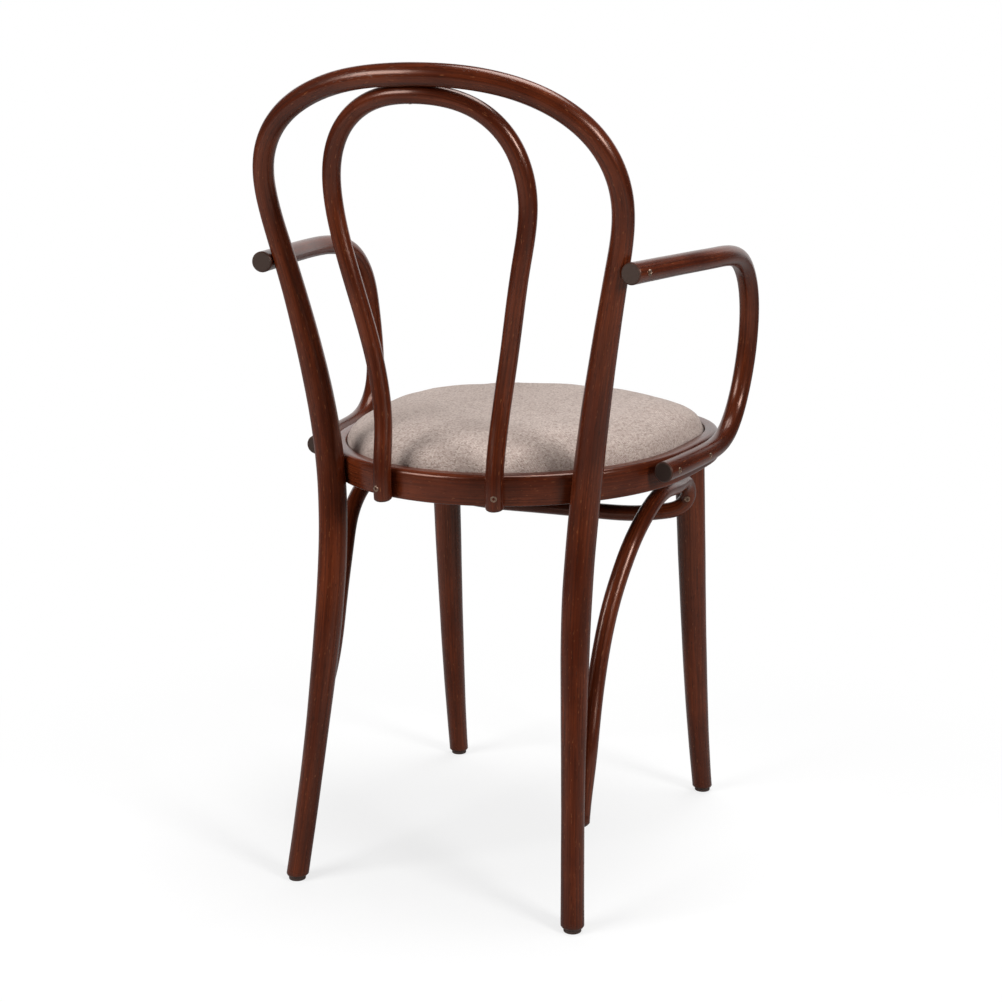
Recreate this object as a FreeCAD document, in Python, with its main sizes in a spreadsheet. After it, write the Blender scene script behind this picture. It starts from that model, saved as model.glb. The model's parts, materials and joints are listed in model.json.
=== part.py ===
import FreeCAD, Part
import math
import os
from FreeCAD import Placement, Rotation, Vector

# Bentwood armchair: steam-bent beech rods screwed to a bent seat ring that holds a padded seat.
# Millimetres, +Z up, the floor at z = 0. The sitter faces -Y, so the right arm is on the -X side.
# The origin lies on the floor under the middle of the chair.

SIZES = {
    # whole chair
    "overall_height": 837.5,
    "seat_height": 455,
    "seat_tilt": 2.6,
    "seat_middle_back": -41,
    # seat ring, bent to an outline of tangent arcs
    "ring_depth": 414,
    "ring_back_radius": 200,
    "ring_side_radius": 866,
    "ring_corner_radius": 125,
    "ring_corner_spread": 160,
    "ring_corner_forward": 52,
    "ring_height": 31,
    "ring_width": 36,
    "rim_width": 15,
    "rebate_depth": 12,
    "ring_edge_round": 5,
    "ring_foot_round": 2,
    # padded seat
    "pad_gap": 0.3,
    "cover_thickness": 1.2,
    "cover_turn_in": 24,
    "board_thickness": 10,
    "pad_crown": 31,
    "pad_edge_height": 15,
    "pad_edge_round": 11,
    "dust_cloth_thickness": 0.8,
    # rear legs and outer hoop, one rod
    "rear_leg_diameter": 30,
    "rear_foot_diameter": 23.5,
    "rear_swell_low": 90,
    "rear_swell_high": 330,
    "hoop_diameter": 21.5,
    "rear_leg_bearing": 41.5,
    "rear_foot_spread": 314,
    "rear_foot_back": 191,
    "waist_spread": 275,
    "waist_height": 340,
    "shoulder_spread": 377,
    "shoulder_drop": 117.5,
    "shoulder_back": 161,
    "hoop_squareness": 2.35,
    "hoop_lean": 0.39,
    "crest_bow": 24,
    # inner loop of the back
    "hairpin_diameter": 18.4,
    "hairpin_foot_spread": 123,
    "hairpin_tail": 0.5,
    "hairpin_shoulder_spread": 205,
    "hairpin_shoulder_drop": 97.5,
    "hairpin_shoulder_back": 181,
    "hairpin_lean": 0.22,
    "hairpin_under_angle": 57,
    # arms
    "arm_diameter": 21,
    "arm_rise": 197,
    "arm_rear_drop": 4,
    "arm_spread": 462,
    "arm_bow": 4.5,
    "arm_lift": 2,
    "arm_front": 133,
    "arm_upper_bend": 80,
    "arm_lower_bend": 77,
    "arm_overhang": 16,
    "arm_foot_back": 58,
    "arm_foot_depth": 7.5,
    "arm_run_rise": 0.5,
    # front legs
    "front_leg_diameter": 34.5,
    "front_foot_diameter": 22.5,
    "front_leg_bearing": 47,
    "front_leg_margin": 0.75,
    "front_foot_spread": 324,
    "front_foot_forward": 229,
    "tenon_diameter": 20,
    "tenon_length": 15,
    # brace, one rod from rear leg to rear leg
    "brace_diameter": 18,
    "brace_tip_diameter": 13,
    "brace_tip_height": 99,
    "brace_leave_height": 175,
    "brace_bearing": 23,
    "brace_tip_bearing": 12,
    "brace_bow": 5,
    "arch_drop": 53,
    "curl_drop": 77,
    "curl_bearing": 12,
    "crossbar_drop": 104,
    "crossbar_forward": 146.5,
    # glides and their nails
    "glide_diameter": 18,
    "glide_height": 4,
    "glide_round": 1,
    "nail_diameter": 2.5,
    "nail_length": 22,
    "nail_head_diameter": 7,
    "nail_head_height": 1,
    # screws and bolts
    "screw_diameter": 4,
    "screw_head_diameter": 8,
    "screw_head_height": 3,
    "screw_recess": 0.8,
    "drive_slot_length": 5,
    "drive_slot_width": 1.1,
    "drive_slot_depth": 1.6,
    "hairpin_screw_length": 34,
    "arm_hoop_screw_length": 34,
    "arm_seat_screw_length": 30,
    "brace_screw_length": 31,
    "crest_screw_length": 28,
    "board_screw_length": 24,
    "board_screw_bearing": 20,
    "bolt_diameter": 6,
    "bolt_head_diameter": 10,
    "bolt_head_height": 4,
    "bolt_length": 54,
    "washer_diameter": 15,
    "washer_thickness": 1.5,
    # ends and fits
    "foot_chamfer": 2,
    "end_chamfer": 1.5,
    "joint_gap": 0.2,
    "brace_gap": 0.45,
    "bore_gap": 0.1,
    "housing_depth": 0.6,
}

# Shares of the way from the seat to the shoulder: height, spread, back.
FLANK = ((0.24, 0.17, 0.05), (0.49, 0.423, 0.25), (0.785, 0.789, 0.59))
HAIRPIN_FLANK = ((0.156, 0.03, -0.4), (0.467, 0.33, -0.38), (0.774, 0.757, 0.52))
# Shares along an arm's rail: run, bow.
RAIL = ((0.48, 0.8), (0.74, 1.0))
# An arm's front bends: turn in degrees, and the share of the narrowing from the rail to the ring.
UPPER_BEND = ((30, 0), (60, 0.03), (90, 0.12))
LOWER_BEND = ((0, 0.36), (30, 0.62), (60, 0.8))
LOWER_RUN = (0.1, 0.4, 0.7, 1)
# Shares of the brace's arch from the rear leg to the front curl: run, rise, bow.
ARCH = (
    (0.069, 0.2, -0.55),
    (0.154, 0.463, -0.42),
    (0.205, 0.595, 0),
    (0.27, 0.727, 0.7),
    (0.338, 0.837, 1.45),
    (0.45, 0.935, 2),
    (0.585, 0.99, 2),
    (0.74, 1, 1.5),
    (0.895, 0.985, 0.8),
)
# Places on the curl in brace radii from where it touches the front leg: outward, back, up.
CURL_ENTRY = (0.1, 2.6, 0)
CURL = ((0.1, 0.95, 1.7), (0, 0, 0), (-1.05, 0.1, -1.45))
CURL_EXIT = 2.7
# Shares from the curl to the crossbar: spread, drop.
CROSSBAR = ((0.62, 0.95), (0.3, 1))
EXIT_DROP = 0.72
BRACE_FOOT = (0, 0.25, 0.5, 0.75, 1)
BRACE_SCREWS = (0.25, 0.85)
BRACE_SWELL = 0.94
LEG_STEPS = (0.25, 0.5, 0.75, 0.9)
HOOP_STEPS = (0.28, 0.52, 0.72, 0.88)
FLARE_POWER = 1.3
WAIST_POWER = 1.5
HOOP_THINNING = 0.92
FRONT_SWELL = 0.3
FOOT_FLICK = 0.25
FLICK_POWER = 4
TENON_OVERRUN = -0.03
HAIRPIN_SCREW_DEPTH = 0.6
ARM_SCREWS = (0.24, 0.86)
SPAN_SECTIONS = 6
SECTIONS_PER_BEND = 3
SIDES = {"right": -1, "left": 1}
SEAM_BEHIND = Vector(0, 1, 0)
SEAM_BESIDE = Vector(1, 0, 0)
SEAM_ABOVE = Vector(0, 0, 1)
SEAM_ASLANT = Vector(2, 1, 0)
FAR = 600
CLOSE = 0.01
HALVINGS = 60

doc = FreeCAD.newDocument("bentwood_armchair")
sheet = doc.addObject("Spreadsheet::Sheet", "dims")
for row, (alias, value) in enumerate(SIZES.items(), start=1):
    sheet.set(f"A{row}", alias)
    sheet.set(f"B{row}", str(value))
    sheet.setAlias(f"B{row}", alias)
doc.recompute()


def size(alias):
    """A driving dimension, read from the sheet."""
    return float(sheet.get(alias))


def blend(first, second, share):
    """The value that lies share of the way from first to second."""
    return first + (second - first) * share


def smooth(share):
    """A share that starts and ends gently."""
    share = min(max(share, 0), 1)
    return share * share * (3 - 2 * share)


def unit(vector):
    """The same direction at length one."""
    return vector * (1 / vector.Length)


def facing(point, way):
    """Placement at a point with its Z axis along a way."""
    return Placement(point, Rotation(Vector(0, 0, 1), way))


# The seat plane: its X and Y lie in the top of the ring, and its rear edge is the lower one.

SEAT = Placement(
    Vector(0, size("seat_middle_back"), size("seat_height")),
    Rotation(Vector(1, 0, 0), -size("seat_tilt")),
)
SEAT_UP = SEAT.Rotation.multVec(Vector(0, 0, 1))
BACK_CENTRE = Vector(0, size("ring_depth") / 2 - size("ring_back_radius"), 0)


def on_seat(x, y, z):
    """A point given in the seat plane, in the chair's frame."""
    return SEAT.multVec(Vector(x, y, z))


def corner_centre(side):
    """Middle of a front corner's arc."""
    return Vector(side * size("ring_corner_spread") / 2, -size("ring_corner_forward"), 0)


def side_centre(side):
    """Middle of the long side arc that touches the back arc and the front corner's arc."""
    to_back = size("ring_side_radius") - size("ring_back_radius")
    to_corner = size("ring_side_radius") - size("ring_corner_radius")
    line = corner_centre(side) - BACK_CENTRE
    along = (to_back**2 - to_corner**2 + line.Length**2) / (2 * line.Length)
    across = math.sqrt(to_back**2 - along**2)
    direction = unit(line)
    return BACK_CENTRE + direction * along + Vector(direction.y, -direction.x, 0) * across * side


def front_radius():
    """Radius of the front arc that touches both corners and gives the ring its depth."""
    reach = size("ring_corner_forward") - size("ring_depth") / 2
    half = size("ring_corner_spread") / 2
    corner = size("ring_corner_radius")
    return (half**2 + reach**2 - corner**2) / (-2 * (corner + reach))


def arc_between(centre, radius, start, end):
    """The short arc about centre between two unit directions."""
    middle = unit(start + end)
    points = [centre + direction * radius for direction in (start, middle, end)]
    return Part.Arc(*points).toShape()


def seat_outline(inset):
    """The ring's outline in the seat plane, drawn in by inset."""
    front_centre = Vector(0, front_radius() - size("ring_depth") / 2, 0)
    meets = {}
    for side in SIDES.values():
        meets[side] = (
            unit(BACK_CENTRE - side_centre(side)),
            unit(corner_centre(side) - side_centre(side)),
            unit(corner_centre(side) - front_centre),
        )
    left, right = meets[1], meets[-1]
    back = size("ring_back_radius") - inset
    flank = size("ring_side_radius") - inset
    corner = size("ring_corner_radius") - inset
    edges = [
        arc_between(BACK_CENTRE, back, right[0], left[0]),
        arc_between(side_centre(1), flank, left[0], left[1]),
        arc_between(corner_centre(1), corner, left[1], left[2]),
        arc_between(front_centre, front_radius() - inset, left[2], right[2]),
        arc_between(corner_centre(-1), corner, right[2], right[1]),
        arc_between(side_centre(-1), flank, right[1], right[0]),
    ]
    return Part.Wire(edges)


def beside_seat(side, back, outset):
    """Point in the seat plane beside the ring's side, outset from its outer face."""
    middle = side_centre(side)
    radius = size("ring_side_radius") + outset
    return Vector(middle.x + side * math.sqrt(radius**2 - (back - middle.y) ** 2), back, 0)


def seat_level(edge):
    """Height of an edge's middle over the seat plane."""
    return SEAT.inverse().multVec(edge.CenterOfMass).z


def slab(name, inset, top, thickness):
    """A plate of the seat's outline, drawn in by inset, hanging down from a height in the seat plane."""
    face = doc.addObject("Part::Feature", name + "_outline")
    face.Shape = Part.Face(seat_outline(inset))
    face.Placement = SEAT.multiply(Placement(Vector(0, 0, top), Rotation()))
    plate = doc.addObject("Part::Extrusion", name)
    plate.Base = face
    plate.DirMode = "Custom"
    plate.Dir = SEAT_UP * -1
    plate.Solid = True
    plate.setExpression("LengthFwd", thickness)
    return plate


def cut(name, base, tools):
    """Base with every tool taken away."""
    tool = tools[0]
    if len(tools) > 1:
        tool = doc.addObject("Part::MultiFuse", name + "_tools")
        tool.Shapes = tools
    result = doc.addObject("Part::Cut", name)
    result.Base = base
    result.Tool = tool
    return result


def joined(name, base, tool):
    """Two shapes as one solid."""
    result = doc.addObject("Part::Fuse", name)
    result.Base = base
    result.Tool = tool
    return result


def eased(kind, name, base, amount, test):
    """Base with a fillet or a chamfer along the edges that pass the test."""
    doc.recompute()
    numbers = [number for number, edge in enumerate(base.Shape.Edges, start=1) if test(edge)]
    result = doc.addObject(kind, name)
    result.Base = base
    result.Edges = [(number, amount, amount) for number in numbers]
    return result


def cylinder(name, place, radius, height):
    """A round bar whose radius and height are formulas on the sheet."""
    bar = doc.addObject("Part::Cylinder", name)
    bar.setExpression("Radius", radius)
    bar.setExpression("Height", height)
    bar.Placement = place
    return bar


# Bent rods: round sections stand square to a smooth line through a few points.
# A rod's taper gives, for a height, two diameters on the sheet and the share between them.


def bend(points):
    """The smooth line that a rod's middle follows."""
    line = Part.BSplineCurve()
    line.interpolate(points)
    return line


def crossing(line, height, low, high):
    """Where a line passes a height, between a lower and a higher place on it."""
    for _ in range(HALVINGS):
        middle = (low + high) / 2
        if line.value(middle).z < height:
            low = middle
        else:
            high = middle
    return line.value(low)


def direction_at(line, point):
    """Unit tangent of a rod's middle line at a point on it."""
    return unit(Vector(*line.tangent(line.parameter(point))[0]))


def square_to(vector, way):
    """Unit direction nearest to vector that stands square to way."""
    return unit(vector - way * vector.dot(way))


def radius_text(thin, thick, share):
    """Formula for a radius between two diameters on the sheet."""
    return f"(dims.{thin} * {1 - share:.4f} + dims.{thick} * {share:.4f}) / 2"


def radius_value(thin, thick, share):
    """The same radius as a number."""
    return blend(size(thin), size(thick), share) / 2


def even(alias):
    """Taper of a rod that keeps one diameter."""
    return lambda height: (alias, alias, 0)


def rod(name, line, taper, seam):
    """A solid rod along line, lofted in spans through round sections at and between the line's points.

    The seam is the side, at the rod's start, where each section begins: one that no screw goes through.
    """
    knots = line.getKnots()
    stops = [knots[0]]
    for start, end in zip(knots, knots[1:]):
        stops += [blend(start, end, (step + 1) / SECTIONS_PER_BEND) for step in range(SECTIONS_PER_BEND)]
    sections = []
    across = seam
    for number, stop in enumerate(stops):
        middle = line.value(stop)
        forward = unit(Vector(*line.tangent(stop)[0]))
        across = square_to(across, forward)
        ring = doc.addObject("Part::Circle", f"{name}_section_{number}")
        ring.setExpression("Radius", radius_text(*taper(middle.z)))
        ring.Placement = Placement(middle, Rotation(across, forward.cross(across), forward, "ZXY"))
        sections.append(ring)
    spans = []
    for first in range(0, len(sections) - 1, SPAN_SECTIONS):
        span = doc.addObject("Part::Loft", f"{name}_span_{first}")
        span.Sections = sections[first:first + SPAN_SECTIONS + 1]
        span.Solid = True
        spans.append(span)
    body = doc.addObject("Part::MultiFuse", name)
    body.Shapes = spans
    return body


# Back frame line: foot, leg, seat, flank, shoulder and crest of one half, and its mirror image.

CREST_Z = size("overall_height") - size("hoop_diameter") / 2
SHOULDER_Z = CREST_Z - size("shoulder_drop")


def beside_back(reach, bearing, depth):
    """Point behind the ring at a bearing from straight back, at a depth under the ring's top."""
    turn = math.radians(bearing)
    out = Vector(math.sin(turn), math.cos(turn), 0) * reach
    spot = BACK_CENTRE + out
    return on_seat(spot.x, spot.y, -depth)


def leg_at_seat(side):
    """Middle of a rear leg beside the ring, at half the ring's height."""
    apart = size("rear_leg_diameter") / 2 + size("joint_gap") - size("housing_depth")
    reach = size("ring_back_radius") + apart
    return beside_back(reach, side * size("rear_leg_bearing"), size("ring_height") / 2)


SEAT_CONTACT_Z = leg_at_seat(1).z


def back_taper(height):
    """The rear leg swells from its foot to the seat, and the rod thins again up to the hoop."""
    if height < SEAT_CONTACT_Z:
        share = (height - size("rear_swell_low")) / (size("rear_swell_high") - size("rear_swell_low"))
        return "rear_foot_diameter", "rear_leg_diameter", smooth(share)
    share = HOOP_THINNING * (height - SEAT_CONTACT_Z) / (SHOULDER_Z - SEAT_CONTACT_Z)
    return "rear_leg_diameter", "hoop_diameter", smooth(share)


def hoop_back(spread, height):
    """How far back the hoop leans at a height, and how far its crest bows."""
    bow = size("crest_bow") * (1 - spread / (size("shoulder_spread") / 2))
    return size("shoulder_back") + size("hoop_lean") * (height - SHOULDER_Z) + bow


def arch_spread(half_spread, share):
    """Half width of a rounded arch at a share of its rise."""
    power = size("hoop_squareness")
    return half_spread * (1 - share**power) ** (1 / power)


def rear_leg_points(side):
    """Points of a rear leg from the floor up to just under the seat."""
    seat = leg_at_seat(side)
    points = []
    for share in (1,) + LEG_STEPS[::-1]:
        height = seat.z * (1 - share)
        back = blend(seat.y, size("rear_foot_back"), share**FLARE_POWER)
        flare = max(0, 1 - height / size("waist_height")) ** WAIST_POWER
        spread = blend(size("waist_spread"), size("rear_foot_spread"), flare) / 2
        points.append(Vector(side * spread, back, height))
    return points


def back_half(side):
    """Points of one half of the back frame, from the floor up to the shoulder and over towards the crest."""
    seat = leg_at_seat(side)
    shoulder = Vector(side * size("shoulder_spread") / 2, size("shoulder_back"), SHOULDER_Z)
    points = rear_leg_points(side) + [seat]
    for rise, widen, recline in FLANK:
        spread = blend(seat.x, shoulder.x, widen)
        points.append(Vector(spread, blend(seat.y, shoulder.y, recline), blend(seat.z, shoulder.z, rise)))
    points.append(shoulder)
    for share in HOOP_STEPS:
        height = SHOULDER_Z + size("shoulder_drop") * share
        spread = arch_spread(abs(shoulder.x), share)
        points.append(Vector(side * spread, hoop_back(spread, height), height))
    return points


CREST = Vector(0, hoop_back(0, CREST_Z), CREST_Z)
BACK_LINE = bend(back_half(-1) + [CREST] + back_half(1)[::-1])


def back_at(side, height):
    """Middle of the back frame's rod at a height, on one side."""
    foot = BACK_LINE.FirstParameter if side < 0 else BACK_LINE.LastParameter
    return crossing(BACK_LINE, height, foot, BACK_LINE.parameter(CREST))


def back_radius(height):
    """Radius of the back frame's rod at a height."""
    return radius_value(*back_taper(height))


# Hairpin line: its feet stand against the back of the ring and its top lies under the crest.

HAIRPIN_RADIUS = size("hairpin_diameter") / 2
UNDER = math.radians(size("hairpin_under_angle"))
TOP_APART = size("hoop_diameter") / 2 + HAIRPIN_RADIUS + size("joint_gap")
HAIRPIN_TOP = CREST + Vector(0, -math.cos(UNDER), -math.sin(UNDER)) * TOP_APART


def hairpin_on_ring(side, depth):
    """Middle of a hairpin foot beside the ring, at a depth under the ring's top."""
    reach = size("ring_back_radius") + HAIRPIN_RADIUS + size("joint_gap") - size("housing_depth")
    bearing = math.degrees(math.asin(size("hairpin_foot_spread") / 2 / reach))
    return beside_back(reach, side * bearing, depth)


def hairpin_half(side):
    """Points of one half of the hairpin, from its foot up."""
    foot = hairpin_on_ring(side, size("ring_height") + size("hairpin_tail"))
    seat = hairpin_on_ring(side, 0)
    drop = size("hairpin_shoulder_drop")
    half = size("hairpin_shoulder_spread") / 2
    shoulder = Vector(side * half, size("hairpin_shoulder_back"), HAIRPIN_TOP.z - drop)
    bow = HAIRPIN_TOP.y - shoulder.y - size("hairpin_lean") * drop
    points = [foot, seat]
    for rise, widen, recline in HAIRPIN_FLANK:
        spread = blend(seat.x, shoulder.x, widen)
        points.append(Vector(spread, blend(seat.y, shoulder.y, recline), blend(seat.z, shoulder.z, rise)))
    points.append(shoulder)
    for share in HOOP_STEPS:
        spread = arch_spread(half, share)
        rise = drop * share
        back = shoulder.y + size("hairpin_lean") * rise + bow * (1 - spread / half)
        points.append(Vector(side * spread, back, shoulder.z + rise))
    return points


HAIRPIN_LINE = bend(hairpin_half(-1) + [HAIRPIN_TOP] + hairpin_half(1)[::-1])

# Arm line: rail along the hoop's outside, round the front, and back along the ring's side.

ARM_RADIUS = size("arm_diameter") / 2
ARM_Z = size("seat_height") + size("arm_rise")
ARM_CROSS_Z = ARM_Z - size("arm_rear_drop")
ARM_FRONT = -size("arm_front")
ARM_RUN_START = ARM_FRONT + size("arm_lower_bend")


def arm_at_hoop(side):
    """Middle of an arm where it lies against the hoop."""
    apart = back_radius(ARM_CROSS_Z) + ARM_RADIUS + size("joint_gap") - size("housing_depth")
    return back_at(side, ARM_CROSS_Z) + Vector(side * apart, 0, 0)


def arm_on_ring(side, share):
    """Middle of an arm's lower run beside the ring, at a share of the way back from the front bend."""
    back = blend(ARM_RUN_START, size("arm_foot_back"), share)
    outset = ARM_RADIUS + size("joint_gap")
    spot = beside_seat(side, back - size("seat_middle_back"), outset)
    return on_seat(spot.x, spot.y, -size("arm_foot_depth") + size("arm_run_rise") * (1 - share))


def arm_points(side):
    """Points of one arm, from its rear end over the front to its lower end."""
    cross = arm_at_hoop(side)
    wide = size("arm_spread") / 2
    upper = size("arm_upper_bend")
    lower = size("arm_lower_bend")
    rail_end = Vector(side * wide, ARM_FRONT + upper, ARM_Z)
    run = arm_on_ring(side, 0)
    rail = [
        blend(cross, rail_end, share) + Vector(side * size("arm_bow"), 0, size("arm_lift")) * bow
        for share, bow in RAIL
    ]
    points = [cross - unit(rail[0] - cross) * size("arm_overhang"), cross] + rail + [rail_end]
    for turn, narrowing in UPPER_BEND:
        angle = math.radians(turn)
        spread = blend(wide, abs(run.x), narrowing)
        back = ARM_FRONT + upper * (1 - math.sin(angle))
        points.append(Vector(side * spread, back, ARM_Z - upper * (1 - math.cos(angle))))
    for turn, narrowing in LOWER_BEND:
        angle = math.radians(turn)
        spread = blend(wide, abs(run.x), narrowing)
        back = ARM_FRONT + lower * (1 - math.cos(angle))
        points.append(Vector(side * spread, back, run.z + lower * (1 - math.sin(angle))))
    return points + [arm_on_ring(side, share) for share in LOWER_RUN]


# Front leg line: under the ring's corner and curving forward to the floor.


def front_leg_top(side, depth):
    """Middle of a front leg under the ring's corner, at a depth under the ring's top."""
    turn = math.radians(size("front_leg_bearing"))
    reach = size("ring_corner_radius") - size("front_leg_margin") - size("front_leg_diameter") / 2
    spot = corner_centre(side) + Vector(side * math.cos(turn), -math.sin(turn), 0) * reach
    return on_seat(spot.x, spot.y, -depth)


def front_leg_points(side):
    """Points of one front leg, from the floor up to just inside the ring."""
    top = front_leg_top(side, size("ring_height"))
    foot = Vector(side * size("front_foot_spread") / 2, -size("front_foot_forward"), 0)
    points = []
    for share in (1,) + LEG_STEPS[::-1] + (TENON_OVERRUN,):
        flare = (1 - FOOT_FLICK) * share + FOOT_FLICK * share**FLICK_POWER
        spot = blend(top, foot, flare)
        points.append(Vector(spot.x, spot.y, top.z * (1 - share)))
    return points


FRONT_LINES = {side: bend(front_leg_points(side)) for side in SIDES.values()}


def front_taper(height):
    """A front leg thickens all the way up, a little less so near the top."""
    share = min(max(height / front_leg_top(1, size("ring_height")).z, 0), 1)
    return "front_foot_diameter", "front_leg_diameter", share * (1 + FRONT_SWELL - FRONT_SWELL * share)


def front_leg_at(side, height):
    """Middle of a front leg at a height."""
    line = FRONT_LINES[side]
    return crossing(line, height, line.FirstParameter, line.LastParameter)


# Brace line: up the front of a rear leg, over an arch, round a curl behind the front leg and across.

BRACE_RADIUS = size("brace_diameter") / 2


def brace_taper(height):
    """The brace thins towards its tip on the rear leg."""
    share = (height - size("brace_tip_height")) / (size("brace_leave_height") - size("brace_tip_height"))
    return "brace_tip_diameter", "brace_diameter", smooth(BRACE_SWELL * share)


def brace_on_rear_leg(side, share):
    """Middle of the brace against a rear leg, at a share of the way up from its tip."""
    height = blend(size("brace_tip_height"), size("brace_leave_height"), share)
    turn = math.radians(blend(size("brace_tip_bearing"), size("brace_bearing"), share))
    apart = back_radius(height) + radius_value(*brace_taper(height)) + size("brace_gap")
    leg = back_at(side, height)
    out = Vector(side * math.sin(turn), -math.cos(turn), 0)
    return leg + square_to(out, direction_at(BACK_LINE, leg)) * apart


def curl_on_front_leg(side):
    """Middle of the brace where its curl touches a front leg."""
    height = size("seat_height") - size("curl_drop")
    turn = math.radians(size("curl_bearing"))
    apart = radius_value(*front_taper(height)) + BRACE_RADIUS + size("brace_gap")
    leg = front_leg_at(side, height)
    out = Vector(side * math.sin(turn), math.cos(turn), 0)
    return leg + square_to(out, direction_at(FRONT_LINES[side], leg)) * apart


def brace_half(side):
    """Points of one half of the brace, from its tip on the rear leg to the crossbar."""
    points = [brace_on_rear_leg(side, share) for share in BRACE_FOOT]
    start = points[-1]
    curl = curl_on_front_leg(side)
    top_z = size("seat_height") - size("arch_drop")
    bar_z = size("seat_height") - size("crossbar_drop")
    bar_y = -size("crossbar_forward")

    def by_curl(place):
        outward, back, upward = place
        return curl + Vector(side * outward, back, upward) * BRACE_RADIUS

    for run, rise, bow in ARCH:
        spot = blend(start, by_curl(CURL_ENTRY), run)
        points.append(Vector(spot.x + side * size("brace_bow") * bow, spot.y, blend(start.z, top_z, rise)))
    points += [by_curl(place) for place in CURL]
    leaving = curl.x - side * CURL_EXIT * BRACE_RADIUS
    points.append(Vector(leaving, bar_y, blend(curl.z, bar_z, EXIT_DROP)))
    points += [Vector(curl.x * spread, bar_y, blend(curl.z, bar_z, drop)) for spread, drop in CROSSBAR]
    return points


BRACE_LINE = bend(brace_half(-1) + brace_half(1)[::-1])

# Fasteners: each spot is the outer face of a head and the way that the shank points.


def spot_through(middle, way, radius):
    """Spot of a screw through a rod's middle, its head sunk a little into the rod."""
    way = unit(way)
    return middle - way * (radius - size("screw_recess")), way


def into_seat(point, centre):
    """Direction level with the seat from a point towards a centre in the seat plane."""
    local = SEAT.inverse().multVec(point)
    return SEAT.Rotation.multVec(Vector(centre.x - local.x, centre.y - local.y, 0))


def hairpin_spots():
    """One screw through each hairpin foot into the ring."""
    depth = size("ring_height") * HAIRPIN_SCREW_DEPTH
    middles = [hairpin_on_ring(side, depth) for side in SIDES.values()]
    return [spot_through(middle, into_seat(middle, BACK_CENTRE), HAIRPIN_RADIUS) for middle in middles]


def arm_hoop_spots():
    """One screw through each arm into the hoop."""
    spots = []
    for side in SIDES.values():
        middle = arm_at_hoop(side)
        spots.append(spot_through(middle, back_at(side, ARM_CROSS_Z) - middle, ARM_RADIUS))
    return spots


def arm_seat_spots():
    """Two screws through each arm's lower run into the ring."""
    spots = []
    for side in SIDES.values():
        for share in ARM_SCREWS:
            middle = arm_on_ring(side, share)
            spots.append(spot_through(middle, into_seat(middle, side_centre(side)), ARM_RADIUS))
    return spots


def brace_front_spots():
    """One screw through each curl into the front leg."""
    spots = []
    for side in SIDES.values():
        middle = curl_on_front_leg(side)
        leg = front_leg_at(side, size("seat_height") - size("curl_drop"))
        spots.append(spot_through(middle, leg - middle, BRACE_RADIUS))
    return spots


def brace_rear_spots():
    """Two screws through each end of the brace into the rear leg."""
    spots = []
    for side in SIDES.values():
        for share in BRACE_SCREWS:
            height = blend(size("brace_tip_height"), size("brace_leave_height"), share)
            middle = brace_on_rear_leg(side, share)
            way = back_at(side, height) - middle
            spots.append(spot_through(middle, way, radius_value(*brace_taper(height))))
    return spots


def crest_spots():
    """One screw up through the top of the hairpin into the crest."""
    return [spot_through(HAIRPIN_TOP, CREST - HAIRPIN_TOP, HAIRPIN_RADIUS)]


def board_spots():
    """Four screws up through the ring's lip into the seat board."""
    inset = (size("rim_width") + size("ring_width")) / 2
    depth = size("ring_height") - size("screw_recess")
    spots = []
    for side in SIDES.values():
        bearing = side * size("board_screw_bearing")
        spots.append((beside_back(size("ring_back_radius") - inset, bearing, depth), SEAT_UP))
        corner = corner_centre(side) + Vector(side * (size("ring_corner_radius") - inset), 0, 0)
        spots.append((on_seat(corner.x, corner.y, -depth), SEAT_UP))
    return spots


def bolt_spots():
    """One bolt from inside the ring out into each rear leg."""
    depth = (size("rebate_depth") + size("ring_height")) / 2
    wall = size("ring_back_radius") - size("ring_width")
    start = wall - size("washer_thickness") - size("bolt_head_height")
    spots = []
    for side in SIDES.values():
        bearing = side * size("rear_leg_bearing")
        inner = beside_back(start, bearing, depth)
        spots.append((inner, unit(beside_back(wall, bearing, depth) - inner)))
    return spots


def foot_spots():
    """The middle of each foot at the underside of its leg: rear right, rear left, front right, front left."""
    lift = size("glide_height")
    rear = [back_at(side, lift) for side in SIDES.values()]
    return rear + [front_leg_at(side, lift) for side in SIDES.values()]


def screw(name, spot, length):
    """A wood screw: round head with a cross slot, and a plain shank."""
    place = facing(*spot)
    head = cylinder(name + "_head", place, "dims.screw_head_diameter / 2", "dims.screw_head_height")
    shank = cylinder(name + "_shank", place, "dims.screw_diameter / 2", f"dims.{length}")
    corner = Placement(Vector(-size("drive_slot_length") / 2, -size("drive_slot_width") / 2, 0), Rotation())
    slots = []
    for turn in (0, 90):
        slot = doc.addObject("Part::Box", f"{name}_slot_{turn}")
        slot.setExpression("Length", "dims.drive_slot_length")
        slot.setExpression("Width", "dims.drive_slot_width")
        slot.setExpression("Height", "dims.drive_slot_depth")
        spin = Placement(Vector(), Rotation(Vector(0, 0, 1), turn))
        slot.Placement = place.multiply(spin).multiply(corner)
        slots.append(slot)
    return cut(name, joined(name + "_blank", head, shank), slots)


def screw_bore(name, spot, length):
    """The hole and the counterbore that a screw needs, open to the outside."""
    point, way = spot
    hole_radius = "dims.screw_diameter / 2 + dims.bore_gap"
    hole = cylinder(name + "_hole", facing(point, way), hole_radius, f"dims.{length} + dims.bore_gap")
    outside = point - way * size("screw_head_diameter")
    mouth_radius = "dims.screw_head_diameter / 2 + dims.bore_gap"
    mouth_depth = "dims.screw_head_diameter + dims.screw_head_height + dims.bore_gap"
    mouth = cylinder(name + "_mouth", facing(outside, way), mouth_radius, mouth_depth)
    return joined(name, hole, mouth)


def group(label, members):
    """Alike solids in one node."""
    node = doc.addObject("Part::Compound", label)
    node.Links = members
    return node


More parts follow.
